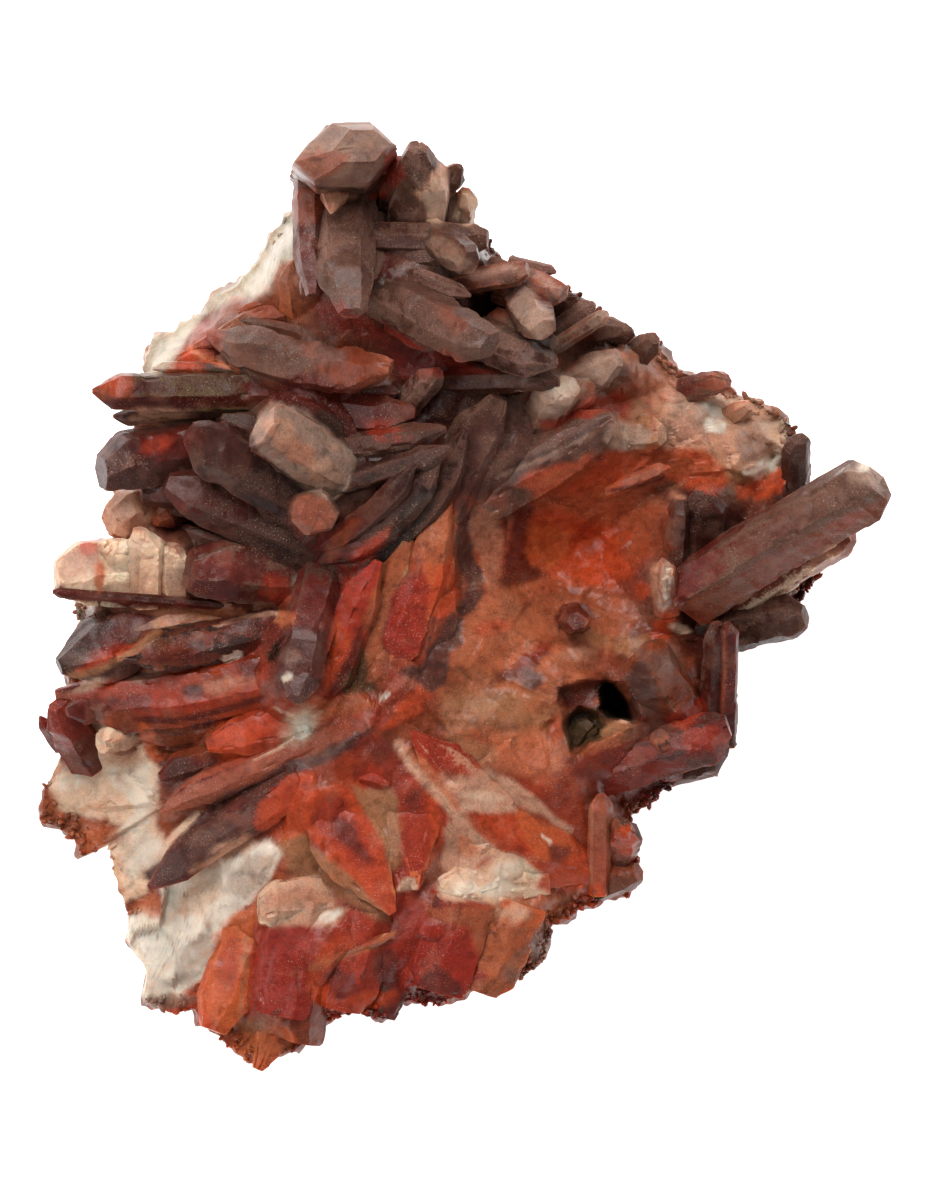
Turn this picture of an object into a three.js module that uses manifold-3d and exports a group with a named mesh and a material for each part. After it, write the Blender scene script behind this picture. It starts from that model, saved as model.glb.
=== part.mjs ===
// A raw cluster of iron-stained quartz: a broken plate of massive quartz with over a hundred hexagonal
// crystals grown out of it, lying on its flat broken back with the crystals up. Plate and crystals grew as
// one stone, so the part is one solid. Millimetres, +Z up, the origin in the middle of the flat back.
import * as THREE from "three";
import { mergeVertices } from "three/addons/utils/BufferGeometryUtils.js";
import Module from "manifold-3d";

// Driving dimensions, mm.
const RIM_RISE = 9; // height of the plate where no swell lifts it
const RIM_DROP = 0.3; // share of the height lost between the shoulder of the plate and its broken rim
const SHOULDER_AT = 0.8; // where that drop starts, as a share of the way from the middle to the rim
const BACK_REACH = 0.8; // size of the flat back, as a share of the outline
const GRID = 18; // squares across the top of the plate
const CHIP = 0.9; // height of the random chips on the plate's top
const WALL = [[1.0, 0.6], [0.94, 0.2]]; // broken side: rings as [share of outline, share of rim height]
const WALL_CHIP = 0.035; // random in and out of the side's rings, as a share of the outline
const BACK_CHIP = 0.6; // share of that chip on the ring around the flat back
const LOWEST = 3; // the plate's top is nowhere lower than this
const RIPPLE = 0.8; // height of the long waves on the plate's top
const FACE_SPREAD = 0.26; // how unequal the distances of a crystal's faces from its axis are
const TIP_LEAN = 0.3; // how far a crystal's tip may stand off its axis, as a share of its width
const ROOT_SIZE = 0.14; // size of a tapered root, as a share of the full section
const SHARPEST = 0.06; // size of the sharpest tip, as a share of the full section
const SHOULDER_STEP = 0.55; // how unequal the heights are where the faces of a point start, as a share of it
const TIP_STEP = 0.35; // the same on a blunt tip
const CUT_SIZE = 200; // side of the block that levels the back
const CUT_DEPTH = 40; // its depth
const WELD = 1e-3; // vertices closer than this are one
const SLIVER = 0.12; // facets thinner than this are merged away

// The plate's broken outline, anticlockwise from the east, [x, y].
const OUTLINE = [
  [41, 1], [44.5, 4], [46, 7], [42, 14], [42.4, 18.5], [39.4, 22], [36, 24.6], [31, 26.6], [27, 28.4],
  [24, 32], [20, 33], [17, 35.6], [12.5, 39.4], [5, 43], [2.5, 46.8], [-1, 49.6], [-4, 52], [-9, 52.6],
  [-15, 52], [-20, 49], [-22.3, 46], [-24.6, 41.8], [-27.4, 38.4], [-32.6, 35.4], [-37.6, 31.8], [-40, 29],
  [-39, 25.5], [-41.6, 22.2], [-40, 17], [-43.3, 12], [-43, 8], [-46.5, 5], [-48.4, -1], [-47.4, -4],
  [-49.9, -8], [-49.6, -12], [-50.4, -19], [-53.2, -24], [-53.2, -27.4], [-49.4, -28.8], [-47, -31.2],
  [-44.4, -30.6], [-43.2, -36.5], [-41.3, -38.5], [-41.8, -42], [-39.8, -45.5], [-40, -50.4],
  [-36.4, -51.6], [-33.6, -50.8], [-30.8, -54.3], [-27, -58.4], [-24, -57.2], [-19.5, -55.6], [-17, -52.6],
  [-13, -51.2], [-10, -51.8], [-8.2, -50.2], [-3, -49.4], [2.5, -48.4], [7.2, -47], [10, -44],
  [10.8, -40.4], [14, -38.4], [20.3, -36.6], [21.6, -34.6], [21.4, -30], [20.6, -26.6], [24, -24.6],
  [27, -21.6], [31, -21.6], [33, -18.6], [32.8, -13], [33.2, -5.8], [38, -4.4],
];
const MIDDLE = [-2, -2]; // the outline is seen whole from here

// Swells and hollows of the plate's top, [x, y, radius, height].
const SWELLS = [
  [-11, 43, 11, 17], [3, 37, 11, 13], [-22, 27, 13, 10], [-12, 14, 14, 11], [-30, 8, 12, 4], [4, 18, 12, 9],
  [22, 23, 13, 8], [33, 18, 8, 3], [-8, -4, 13, 8], [8, -10, 13, 7], [-30, -9, 12, 3.5], [-15, -20, 11, 6],
  [-2, -27, 12, 4], [-14, -44, 13, 6], [3, -42, 8, 4], [24, -12, 10, 5], [15, -22, 9, 4], [14, 8, 8, -4],
  [-38, -30, 12, 1.5], [-46, -26, 7, -3],
];

// The crystals, grouped as they grew. Each row is
// name, root [x, y, z], tip [x, y, z], width, thickness as a share of width, roll in degrees,
// length of the pointed end, bluntness of the tip (0 is a point), length of the tapered root, sideways bow.
const CROWN = [
  ["cap", [-14.3, 49.4, 16], [-14.3, 55, 42], 14.4, 0.64, 6, 5, 0.5, 0, 0],
  ["cap_stem", [-15.6, 53, 27], [-16, 47, 33], 4.6, 0.8, 20, 4, 0, 0, 0],
  ["cap_flank", [-19.3, 52, 26], [-18.8, 36.5, 31], 4, 0.9, 12, 10, 0.2, 0, 0],
  ["keel", [-13.4, 52, 24], [-14, 34.2, 36], 7.6, 0.8, 8, 5, 0.3, 0, 0],
  ["fin", [-6.5, 44.6, 20], [-4.9, 54.8, 33], 8.2, 0.75, 26, 4.5, 0.35, 0, 0],
  ["fin_west", [-7.6, 46, 20], [-8, 54.4, 29], 3.6, 0.9, 0, 2, 0.2, 0, 0],
  ["fin_east", [-4, 49, 22], [-0.6, 53.2, 29], 3.2, 0.9, 30, 2, 0.35, 0, 0],
  ["fin_tooth", [-1.2, 45.5, 17], [0.6, 50.4, 25], 3.6, 0.9, 10, 2, 0.4, 0, 0],
  ["lintel", [-12, 44.9, 27], [3.5, 44.6, 30], 3.9, 0.9, 16, 1.4, 0.6, 0, 0],
  ["lintel_low", [-11.5, 42.4, 25], [-2.4, 42.8, 29], 3.4, 0.9, 4, 1.6, 0.4, 0, 0],
  ["block", [-2.8, 46, 24], [-0.2, 41.2, 36], 5.4, 0.9, 4, 1.6, 0.72, 0, 0],
  ["beam", [-11, 39.5, 26], [3.4, 30.6, 36], 7.6, 0.85, -14, 3.4, 0.38, 0, 0],
  ["beam_rail", [-10, 41.6, 26], [0.8, 37.4, 31], 2.4, 0.9, 20, 2, 0.2, 0, 0],
  ["arch", [-3, 38.6, 25], [8.4, 41.8, 29], 3.2, 0.9, 10, 3, 0.2, 0, 0],
  ["arch_east", [3, 41.4, 22], [13.2, 38, 28], 5, 0.85, 22, 3, 0.35, 0, 0],
  ["lantern", [8.8, 32.4, 19], [8.2, 36.2, 34], 6.6, 0.85, 14, 2.4, 0.62, 0, 0],
  ["step", [1.6, 32.6, 24], [10.6, 28.9, 30], 6, 0.9, -8, 2.6, 0.25, 0, 0],
  ["step_back", [4, 34.4, 23], [10.8, 31.6, 29], 4.2, 0.9, 20, 2, 0.4, 0, 0],
  ["rod_long", [9.4, 30.2, 21], [17.8, 35.4, 27], 2.1, 0.9, 0, 1, 0.5, 0, 0],
  ["rod_mid", [10.2, 32.4, 20], [16, 36.8, 25], 2.6, 0.9, 18, 1.4, 0.3, 0, 0],
  ["rod_back", [9.5, 35.2, 19], [14.8, 38, 24], 2.4, 0.9, 8, 1.2, 0.3, 0, 0],
  ["rod_end", [13.4, 32.2, 17], [19.5, 34.1, 22], 3, 0.9, 24, 1.6, 0.4, 0, 0],
  ["dusk", [-5, 27.2, 21], [11.6, 27.4, 27], 4, 0.85, 12, 3, 0.3, 0, 0],
  ["pebble_grey", [-7.4, 23.6, 22], [-3.4, 28.4, 29], 3.8, 0.9, 0, 2, 0.5, 0, 0],
];
const FAN = [
  ["lens", [-34, 32.4, 17], [-8.4, 28.6, 31], 7.8, 0.62, 10, 8, 0.12, 6, -1.4],
  ["lens_shelf", [-31, 30, 17], [-17, 28, 26], 5, 0.7, -10, 4, 0.2, 4, 0],
  ["lens_back", [-20, 37.4, 20], [-34.5, 31.4, 17], 5.6, 0.7, 20, 6, 0.1, 0, 0],
  ["thorn", [-21, 36, 19], [-22.7, 42.7, 26], 3.8, 0.85, 10, 3.4, 0.1, 0, 0],
  ["ember", [-29, 29.4, 15], [-37, 28.8, 18], 4.2, 0.8, 0, 4, 0.2, 0, 0],
  ["spear", [-23, 26.3, 19], [-45.8, 25.8, 24], 4.8, 0.8, 20, 3.2, 0.12, 0, 0],
  ["spear_low", [-31, 24.4, 15], [-42, 22.8, 18], 3.4, 0.8, 0, 1.6, 0.5, 0, 0],
  ["prow", [-25, 20.4, 15], [-45.3, 16.6, 23], 9.2, 0.72, 12, 6.5, 0.22, 0, 0],
  ["prow_low", [-24, 15.6, 15], [-40, 13.4, 20], 6, 0.8, -16, 3.2, 0.35, 0, 0],
  ["tablet", [-11, 14.4, 23], [-25.8, 21.6, 34], 8.2, 0.75, -16, 1.6, 0.66, 0, 0],
  ["slab_dark", [-14, 9.6, 19], [-34.5, 20.4, 27], 8, 0.7, 8, 4, 0.35, 0, 0],
  ["slab_lower", [-17, 6, 17], [-37, 14.4, 22], 6.6, 0.75, 14, 4, 0.35, 0, 0],
  ["window", [-19, 12, 15], [-18.7, 10.4, 33], 6.8, 0.85, 0, 2, 0.66, 0, 0],
  ["rib_outer", [-17.5, 3.6, 19], [0.2, 21, 27], 4.4, 0.8, 10, 5, 0.12, 3, -3.6],
  ["rib_second", [-18, 4.6, 20], [-3.2, 17.4, 29], 3.8, 0.85, 0, 4, 0.15, 3, -2.2],
  ["rib_third", [-18.6, 6.2, 20], [-6, 16.8, 31], 3.4, 0.85, 10, 4, 0.15, 3, -1.2],
  ["rib_upper", [-17, 13.4, 22], [-1.4, 18.4, 30], 3.6, 0.85, 0, 4, 0.15, 3, 0],
  ["rib_top", [-17, 18.4, 22], [-2, 20.6, 28], 4.4, 0.8, 0, 4, 0.2, 3, 0],
  ["hearth", [-21, 24, 20], [-6, 22.4, 26], 5.4, 0.7, 8, 5, 0.2, 3, 0],
];
const WEST = [
  ["shell", [-18, 3.4, 13], [-37, 4.6, 22], 10.4, 0.8, 8, 4, 0.6, 0, 0],
  ["snow", [-31, 4, 12], [-50.4, 3.6, 20], 9.4, 0.75, 6, 4, 0.55, 0, 0],
  ["snow_keel", [-28, -0.4, 11], [-50.4, 0.7, 15], 2.6, 0.8, 0, 2, 0.4, 0, 0],
  ["blush", [-34, 12.6, 9], [-43.6, 9.4, 15], 6.8, 0.8, 18, 2.6, 0.45, 0, 0],
  ["blush_inner", [-33, 12.6, 12], [-38, 9.6, 17], 3.4, 0.8, 0, 1.5, 0.4, 0, 0],
  ["beak", [-34, -1.8, 12], [-50.6, -8.5, 17], 7.8, 0.75, 14, 6, 0.16, 0, 0],
  ["wedge", [-20, -2.4, 14], [-43, -7.6, 19], 6.4, 0.8, 10, 6, 0.15, 0, 0],
  ["wedge_veil", [-22, -0.6, 14], [-41, -3.6, 17], 3.2, 0.8, 20, 4, 0.2, 0, 0],
  ["blade", [-21, -8.6, 16], [-51, -12.8, 13], 7.6, 0.7, 14, 9, 0.14, 3, 1.2],
  ["blade_knot", [-41, -12.4, 11], [-49.4, -14.4, 15], 3.8, 0.8, 0, 2.4, 0.3, 0, 0],
  ["stub", [-46.4, -20, 6], [-50.4, -13.2, 14], 6.2, 0.85, 10, 3, 0.4, 0, 0],
  ["under_blade", [-21, -13.6, 13], [-43, -17, 12], 4.6, 0.7, 0, 6, 0.2, 0, 0],
  ["plum", [-29, -19, 12], [-38, -21.6, 14], 3.8, 0.8, 0, 2.6, 0.3, 0, 0],
  ["plum_west", [-38, -15, 9], [-45.5, -17.5, 14], 5, 0.8, 20, 3, 0.5, 0, 0],
];
const HEART = [
  ["pillar", [-17, 4.4, 17], [-21, -12.4, 27], 6.6, 0.8, 8, 3.4, 0.4, 0, 0],
  ["flame", [-9, -9, 19], [-1.4, 12.4, 24], 6.8, 0.75, 12, 8, 0.12, 4, 0],
  ["flame_low", [-6.5, -11, 18], [-2, 3, 22], 5.4, 0.8, -14, 5, 0.2, 4, 0],
  ["reed", [-13.2, -11, 18], [-6.6, 8, 23], 4.6, 0.8, 0, 5, 0.2, 4, 0],
  ["reed_red", [-17.6, -13, 18], [-11, 5, 24], 5.2, 0.8, 16, 5, 0.2, 4, 0],
  ["plume", [-5.4, 5, 19], [4.2, 26.4, 27], 7, 0.8, 6, 5, 0.3, 0, 0],
  ["sheaf", [1.4, 12, 19], [19.4, 23.6, 26], 6.8, 0.75, -8, 4, 0.3, 0, 0],
  ["sheaf_back", [4, 20, 20], [18, 28.4, 24], 4.4, 0.8, 10, 3, 0.3, 0, 0],
  ["pearl", [9, 21.8, 17], [12.6, 29, 28], 5.8, 0.85, 16, 2, 0.6, 0, 0],
  ["pearl_east", [11, 25.6, 18], [20.6, 31, 24], 5, 0.85, 12, 2.4, 0.5, 0, 0],
  ["grey_step", [16.5, 20.4, 14], [24.6, 20.6, 19], 4.6, 0.8, 0, 1.4, 0.6, 0, 0],
  ["button", [13.5, -2.8, 11], [13.6, -2, 20], 4.6, 0.95, 12, 1.2, 0.6, 0, 0],
  ["glint", [25.6, -1.6, 14], [24.2, 5.4, 20], 4.2, 0.85, 14, 2, 0.3, 0, 0],
  ["coal_west", [26.4, 3, 14], [26.8, 12.6, 20], 3.6, 0.9, 0, 1.6, 0.5, 0, 0],
  ["coal", [29.2, 5, 13], [30.4, 13.4, 20], 5.4, 0.9, 18, 2.4, 0.4, 0, 0],
  ["shard", [17.8, 13.6, 14], [25.4, 16.6, 19], 2, 0.8, 0, 1.6, 0.2, 0, 0],
];
const EAST = [
  ["mast", [23.5, -1.3, 13], [50.4, 13.8, 31], 9.2, 0.8, -16, 3.2, 0.5, 0, 0],
  ["mast_shadow", [34, 0, 11], [47.6, 8.6, 21], 5.4, 0.85, 10, 3, 0.5, 0, 0],
  ["heel", [30, -4, 9], [42.4, -1.2, 15], 6.6, 0.85, 12, 3, 0.4, 0, 0],
  ["post", [32.6, -19, 9], [32.7, -2.8, 21], 3, 0.9, 8, 1.4, 0.5, 0, 0],
  ["post_inner", [30.4, -16, 9], [31.4, -3, 19], 3.4, 0.9, 24, 2, 0.4, 0, 0],
  ["gable", [28, -15.6, 9], [21.4, -6, 23], 8.4, 0.8, 20, 2.6, 0.45, 0, 0],
  ["sill", [8, -24.2, 8], [33, -16.4, 16], 7, 0.7, -10, 3, 0.4, 0, 0],
  ["sill_end", [25, -21, 6], [32.4, -19, 12], 4.8, 0.85, 14, 2, 0.5, 0, 0],
  ["sill_pearl", [25.6, -21.4, 11], [24.8, -16.6, 18], 3.6, 0.9, 10, 1, 0.6, 0, 0],
  ["candle", [16.7, -37.2, 6], [16.9, -24, 19], 3.3, 0.9, 6, 1.6, 0.4, 0, 0],
  ["kerb", [17.4, -34, 5], [20.6, -27.8, 14], 5.2, 0.9, 10, 2, 0.5, 0, 0],
  ["kerb_low", [14, -36.4, 4], [21.2, -33.4, 10], 4.6, 0.9, 16, 1.8, 0.5, 0, 0],
  ["drum", [41.2, 12, 8], [41.4, 20.2, 17], 3.8, 0.9, 10, 1.4, 0.6, 0, 0],
  ["bean", [25.5, 26.6, 14], [31.8, 28, 19], 3.4, 0.9, 16, 1.6, 0.4, 0, 0],
  ["bud", [20.6, 30, 14], [24.6, 33.2, 19], 3.6, 0.9, 0, 1.6, 0.5, 0, 0],
  ["bud_west", [17.6, 31, 14], [20.6, 33.8, 19], 2.8, 0.9, 20, 1.2, 0.4, 0, 0],
  ["crumb_north", [32.4, 22.6, 11], [36, 24.8, 15], 3.2, 0.9, 20, 1.4, 0.5, 0, 0],
  ["pit_dark", [13.6, -18.6, 4], [15.4, -14.4, 11], 3.2, 0.9, 0, 1.6, 0.3, 0, 0],
  ["pit_green", [16.8, -17.4, 4], [17.8, -13.8, 10], 2.8, 0.9, 20, 1.4, 0.3, 0, 0],
  ["pit_tan", [17.6, -16.6, 5], [21, -15.3, 11], 2.2, 0.9, 10, 1.2, 0.4, 0, 0],
];
const SOUTH = [
  ["shuttle", [17, -35.4, 9], [-9, -18, 20], 9.8, 0.5, 8, 11, 0.08, 8, 1.4],
  ["leaf", [-19.6, -22, 13], [-9, -39, 18], 8.2, 0.5, 12, 9, 0.1, 6, 0],
  ["leaf_small", [-6.4, -19.6, 14], [-6.8, -36.6, 18], 6.2, 0.55, 0, 8, 0.1, 6, 0],
  ["drop", [-14, -21.4, 15], [-9, -22.6, 19], 3, 0.8, 0, 1.6, 0.3, 1.6, 0],
  ["girder", [-10, -16, 18], [-42.4, -37.6, 13], 5.6, 0.85, 12, 7, 0.14, 12, 0],
  ["girder_rail", [-12, -13.6, 17], [-38, -27.6, 14], 4.2, 0.85, 0, 5, 0.15, 8, 0],
  ["girder_flank", [-14, -23, 15], [-29, -30.4, 12], 5, 0.8, 20, 4, 0.2, 4, 0],
  ["coral", [-15, -14.2, 16], [-32, -17.8, 17], 5.4, 0.75, 6, 5, 0.25, 4, 0],
  ["frost", [10, -33.4, 9], [-4.4, -36.8, 16], 6.2, 0.7, 10, 3, 0.4, 0, 0],
  ["frost_drop", [9, -38, 8], [3.6, -39.6, 13], 3.6, 0.8, 0, 1.6, 0.4, 0, 0],
  ["frost_west", [-13, -36.8, 11], [-26.4, -38, 17], 6.6, 0.7, 12, 2.6, 0.5, 0, 0],
  ["garnet", [-20.6, -37, 7], [-23.2, -51.6, 17], 8.6, 0.85, 12, 4, 0.4, 0, 0],
  ["garnet_west", [-26.4, -36, 7], [-30.8, -54.4, 12], 6.6, 0.85, 20, 5, 0.25, 0, 0],
  ["garnet_low", [-18.6, -42, 6], [-21, -55, 13], 7.4, 0.85, 0, 3, 0.4, 0, 0],
  ["garnet_mid", [-12, -37.6, 8], [-15, -51, 14], 8, 0.85, 10, 3.4, 0.35, 0, 0],
  ["garnet_stub", [-8.6, -41, 6], [-10.6, -52.4, 11], 6, 0.85, 24, 2.6, 0.4, 0, 0],
  ["garnet_east", [-0.4, -36.4, 8], [-4, -48.2, 15], 9.4, 0.85, 14, 3.4, 0.5, 0, 0],
  ["amber_east", [6.6, -37.4, 8], [2.4, -48.8, 13], 8.4, 0.85, 8, 3, 0.45, 0, 0],
  ["amber_toe", [-22, -46.6, 5], [-27.2, -58.8, 8], 9.4, 0.85, 12, 5, 0.2, 0, 0],
  ["vein", [-20, -46, 15], [-8.4, -41.4, 18], 2.2, 0.8, 0, 2, 0.2, 2, 0],
];
const CRYSTALS = [...CROWN, ...FAN, ...WEST, ...HEART, ...EAST, ...SOUTH];

// Deep pockets in the plate, in the same form: each is the space that a crystal of that shape would fill.
const POCKETS = [
  ["dark_pocket", [16.4, -15, 5], [16.2, -12.8, 30], 9.6, 0.8, 12, 2, 0.9, 4, 0],
  ["crown_pocket", [2.4, 35, 12], [2.8, 36.4, 36], 5.4, 0.8, 20, 2, 0.9, 3, 0],
  ["fan_pocket", [-33.6, 10.6, 7], [-33.4, 10.4, 28], 5.4, 0.5, 0, 2, 0.9, 3, 0],
];

const wasm = await Module();
wasm.setup();

// A repeatable random share from 0 to 1 for the k-th choice of thing number seed.
function chance(seed, k) {
  const v = Math.sin(seed * 12.9898 + k * 78.233) * 43758.5453;
  return v - Math.floor(v);
}

function smooth(low, high, v) {
  const t = Math.min(1, Math.max(0, (v - low) / (high - low)));
  return t * t * (3 - 2 * t);
}

// A closed surface as a solid.
function closed(surface) {
  const merged = mergeVertices(surface, WELD);
  return new wasm.Manifold(new wasm.Mesh({
    numProp: 3,
    vertProperties: merged.attributes.position.array,
    triVerts: new Uint32Array(merged.index.array),
  }));
}

// A closed triangle list as a solid.
function solid(positions, triangles) {
  const surface = new THREE.BufferGeometry();
  surface.setAttribute("position", new THREE.Float32BufferAttribute(positions.flat(), 3));
  surface.setIndex(triangles.flat());
  return closed(surface);
}

// Joins rings of equal length into one closed skin: side quads, then a fan on the first and the last ring.
function skin(rings) {
  const n = rings[0].length;
  const positions = rings.flat();
  const triangles = [];
  for (let r = 0; r + 1 < rings.length; r += 1) {
    for (let k = 0; k < n; k += 1) {
      const [a, b] = [r * n + k, r * n + ((k + 1) % n)];
      triangles.push([a, b, b + n], [a, b + n, a + n]);
    }
  }
  const last = (rings.length - 1) * n;
  for (let k = 1; k + 1 < n; k += 1) triangles.push([0, k + 1, k], [last, last + k, last + k + 1]);
  return solid(positions, triangles);
}

// The six corners of a quartz prism seen along its axis. Its faces keep their angles of 60 degrees to
// each other and lie at unequal distances from the axis, as they do in a real crystal.
function section(seed, radius, roll) {
  const turn = THREE.MathUtils.degToRad(roll);
  const faces = [...Array(6).keys()].map((k) => ({
    angle: turn + ((2 * k + 1) * Math.PI) / 6,
    reach: radius * Math.cos(Math.PI / 6) * (1 + FACE_SPREAD * (chance(seed, k) - 0.5)),
  }));
  return faces.map((next, k) => {
    const here = faces[(k + 5) % 6];
    return [
      (here.reach * Math.sin(next.angle) - next.reach * Math.sin(here.angle)) / Math.sin(Math.PI / 3),
      (next.reach * Math.cos(here.angle) - here.reach * Math.cos(next.angle)) / Math.sin(Math.PI / 3),
    ];
  });
}

// One crystal: a tapering six-sided prism from root to tip, with a pyramid whose six faces start at
// unequal heights.
function crystal(seed, [, root, tip, width, thick, roll, point, blunt, rear, bow]) {
  const start = new THREE.Vector3(...root);
  const axis = new THREE.Vector3(...tip).sub(start);
  const length = axis.length();
  axis.normalize();
  const side = new THREE.Vector3(0, 0, 1).cross(axis).normalize();
  const up = axis.clone().cross(side);
  const corners = section(seed, width / 2, roll);
  const leanX = TIP_LEAN * width * (chance(seed, 11) - 0.5);
  const leanY = TIP_LEAN * width * thick * (chance(seed, 12) - 0.5);
  // A ring at a height along the axis, with its own size and its corners lifted one by one.
  const ring = (height, size, shift, lift) => corners.map(([x, y], k) => {
    const h = height + lift(k);
    const u = h / length;
    return start.clone()
      .addScaledVector(axis, h)
      .addScaledVector(side, x * size + shift * leanX + 4 * bow * u * (1 - u))
      .addScaledVector(up, y * thick * size + shift * leanY)
      .toArray();
  });
  const level = () => 0;
  const rings = [ring(0, rear ? ROOT_SIZE : 0.94, 0, level)];
  if (rear) rings.push(ring(rear, 0.96, 0, (k) => 0.5 * rear * (chance(seed, 20 + k) - 0.5)));
  if (bow) rings.push(ring(length * 0.36, 1, 0, level), ring(length * 0.6, 0.99, 0, level));
  rings.push(ring(length - point, 0.95, 0, (k) => SHOULDER_STEP * point * (chance(seed, 30 + k) - 0.5)));
  const tipStep = blunt * TIP_STEP * point;
  rings.push(ring(length, Math.max(blunt, SHARPEST), 1, (k) => tipStep * (chance(seed, 40 + k) - 0.5)));
  return skin(rings);
}

// How far the outline lies from the middle in a direction: the ray's crossing with the outline's edge.
function reach(angle) {
  const [dx, dy] = [Math.cos(angle), Math.sin(angle)];
  let found = 0;
  OUTLINE.forEach(([px, py], i) => {
    const [qx, qy] = OUTLINE[(i + 1) % OUTLINE.length];
    const [ax, ay, ex, ey] = [px - MIDDLE[0], py - MIDDLE[1], qx - px, qy - py];
    const cross = dx * ey - dy * ex;
    const along = (ax * ey - ay * ex) / cross;
    const share = (ax * dy - ay * dx) / cross;
    if (along > 0 && share >= -1e-9 && share <= 1 + 1e-9) found = Math.max(found, along);
  });
  return found;
}

// Height of the plate's top, where s is the share of the way from the middle to the rim.
function plateHeight(x, y, s) {
  const swells = SWELLS.map(([sx, sy, r, h]) => h * Math.exp(-((x - sx) ** 2 + (y - sy) ** 2) / r ** 2));
  const swell = swells.reduce((sum, h) => sum + h, 0);
  const fall = 1 - RIM_DROP * smooth(SHOULDER_AT, 1, s);
  const ripple = RIPPLE * Math.sin(0.42 * x + 0.9 * Math.sin(0.23 * y)) * Math.sin(0.37 * y + 1.3);
  return Math.max(LOWEST, (RIM_RISE + swell + ripple) * fall);
}

// The plate: a square grid wrapped on the outline for the top, a broken side in rings, and a flat back.
function plate() {
  const positions = [];
  const triangles = [];
  const at = (i, j) => i * (GRID + 1) + j;
  const angles = [];
  for (let i = 0; i <= GRID; i += 1) {
    for (let j = 0; j <= GRID; j += 1) {
      const [a, b] = [(2 * i) / GRID - 1, (2 * j) / GRID - 1];
      const s = Math.max(Math.abs(a), Math.abs(b));
      const wide = Math.abs(a) >= Math.abs(b);
      const quarter = wide ? (Math.PI / 4) * (b / (a || 1)) : Math.PI / 2 - (Math.PI / 4) * (a / b);
      const angle = quarter + ((wide ? a : b) < 0 ? Math.PI : 0);
      const r = s * reach(angle);
      const [x, y] = [MIDDLE[0] + r * Math.cos(angle), MIDDLE[1] + r * Math.sin(angle)];
      const chip = s > 0.97 ? 0 : CHIP * 2 * (chance(i * 61 + j, 3) - 0.5);
      positions.push([x, y, plateHeight(x, y, s) + chip]);
      angles.push(angle);
      if (i < GRID && j < GRID) {
        triangles.push([at(i, j), at(i + 1, j), at(i + 1, j + 1)]);
        triangles.push([at(i, j), at(i + 1, j + 1), at(i, j + 1)]);
      }
    }
  }
  const edge = [];
  for (let k = 0; k < GRID; k += 1) edge.push(at(k, 0));
  for (let k = 0; k < GRID; k += 1) edge.push(at(GRID, k));
  for (let k = GRID; k > 0; k -= 1) edge.push(at(k, GRID));
  for (let k = GRID; k > 0; k -= 1) edge.push(at(0, k));
  let above = edge;
  [...WALL, [BACK_REACH, 0]].forEach(([share, rise], row) => {
    const ring = edge.map((v, k) => {
      const wobble = 1 + WALL_CHIP * 2 * (chance(k + 1, row + 50) - 0.5) * (rise > 0 ? 1 : BACK_CHIP);
      const r = share * wobble * reach(angles[v]);
      const [x, y] = [MIDDLE[0] + r * Math.cos(angles[v]), MIDDLE[1] + r * Math.sin(angles[v])];
      positions.push([x, y, rise * positions[v][2]]);
      return positions.length - 1;
    });
    ring.forEach((v, k) => {
      const n = (k + 1) % ring.length;
      triangles.push([above[k], v, ring[n]], [above[k], ring[n], above[n]]);
    });
    above = ring;
  });
  positions.push([MIDDLE[0], MIDDLE[1], 0]);
  above.forEach((v, k) => triangles.push([v, positions.length - 1, above[(k + 1) % above.length]]));
  return solid(positions, triangles);
}

// Everything below the flat back, cut off: the cluster lies on it.
function below() {
  const block = new THREE.BoxGeometry(CUT_SIZE, CUT_SIZE, CUT_DEPTH);
  block.translate(0, 0, -CUT_DEPTH / 2);
  block.deleteAttribute("normal");
  block.deleteAttribute("uv");
  return closed(block);
}

const pitted = plate().subtract(wasm.Manifold.union(POCKETS.map((row, i) => crystal(200 + i, row))));
const grown = wasm.Manifold.union([pitted, ...CRYSTALS.map((row, i) => crystal(i + 1, row))]);
const cut = grown.subtract(below()).simplify(SLIVER);
// Pockets sealed between crystals are left filled: the outer skin alone is kept.
const whole = cut.decompose().sort((a, b) => b.volume() - a.volume())[0];
const mesh = whole.getMesh();
const geometry = new THREE.BufferGeometry();
geometry.setAttribute("position", new THREE.BufferAttribute(mesh.vertProperties, 3));
geometry.setIndex(new THREE.BufferAttribute(mesh.triVerts, 1));

const ironQuartz = new THREE.MeshStandardMaterial({
  color: "#8a4a38",
  roughness: 0.4,
  metalness: 0,
  flatShading: true,
});
const stone = new THREE.Mesh(geometry, ironQuartz);
stone.name = "quartz_cluster";

const group = new THREE.Group();
group.name = "raw_quartz_crystal";
group.add(stone);
export default group;
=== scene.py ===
import itertools
import math

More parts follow.
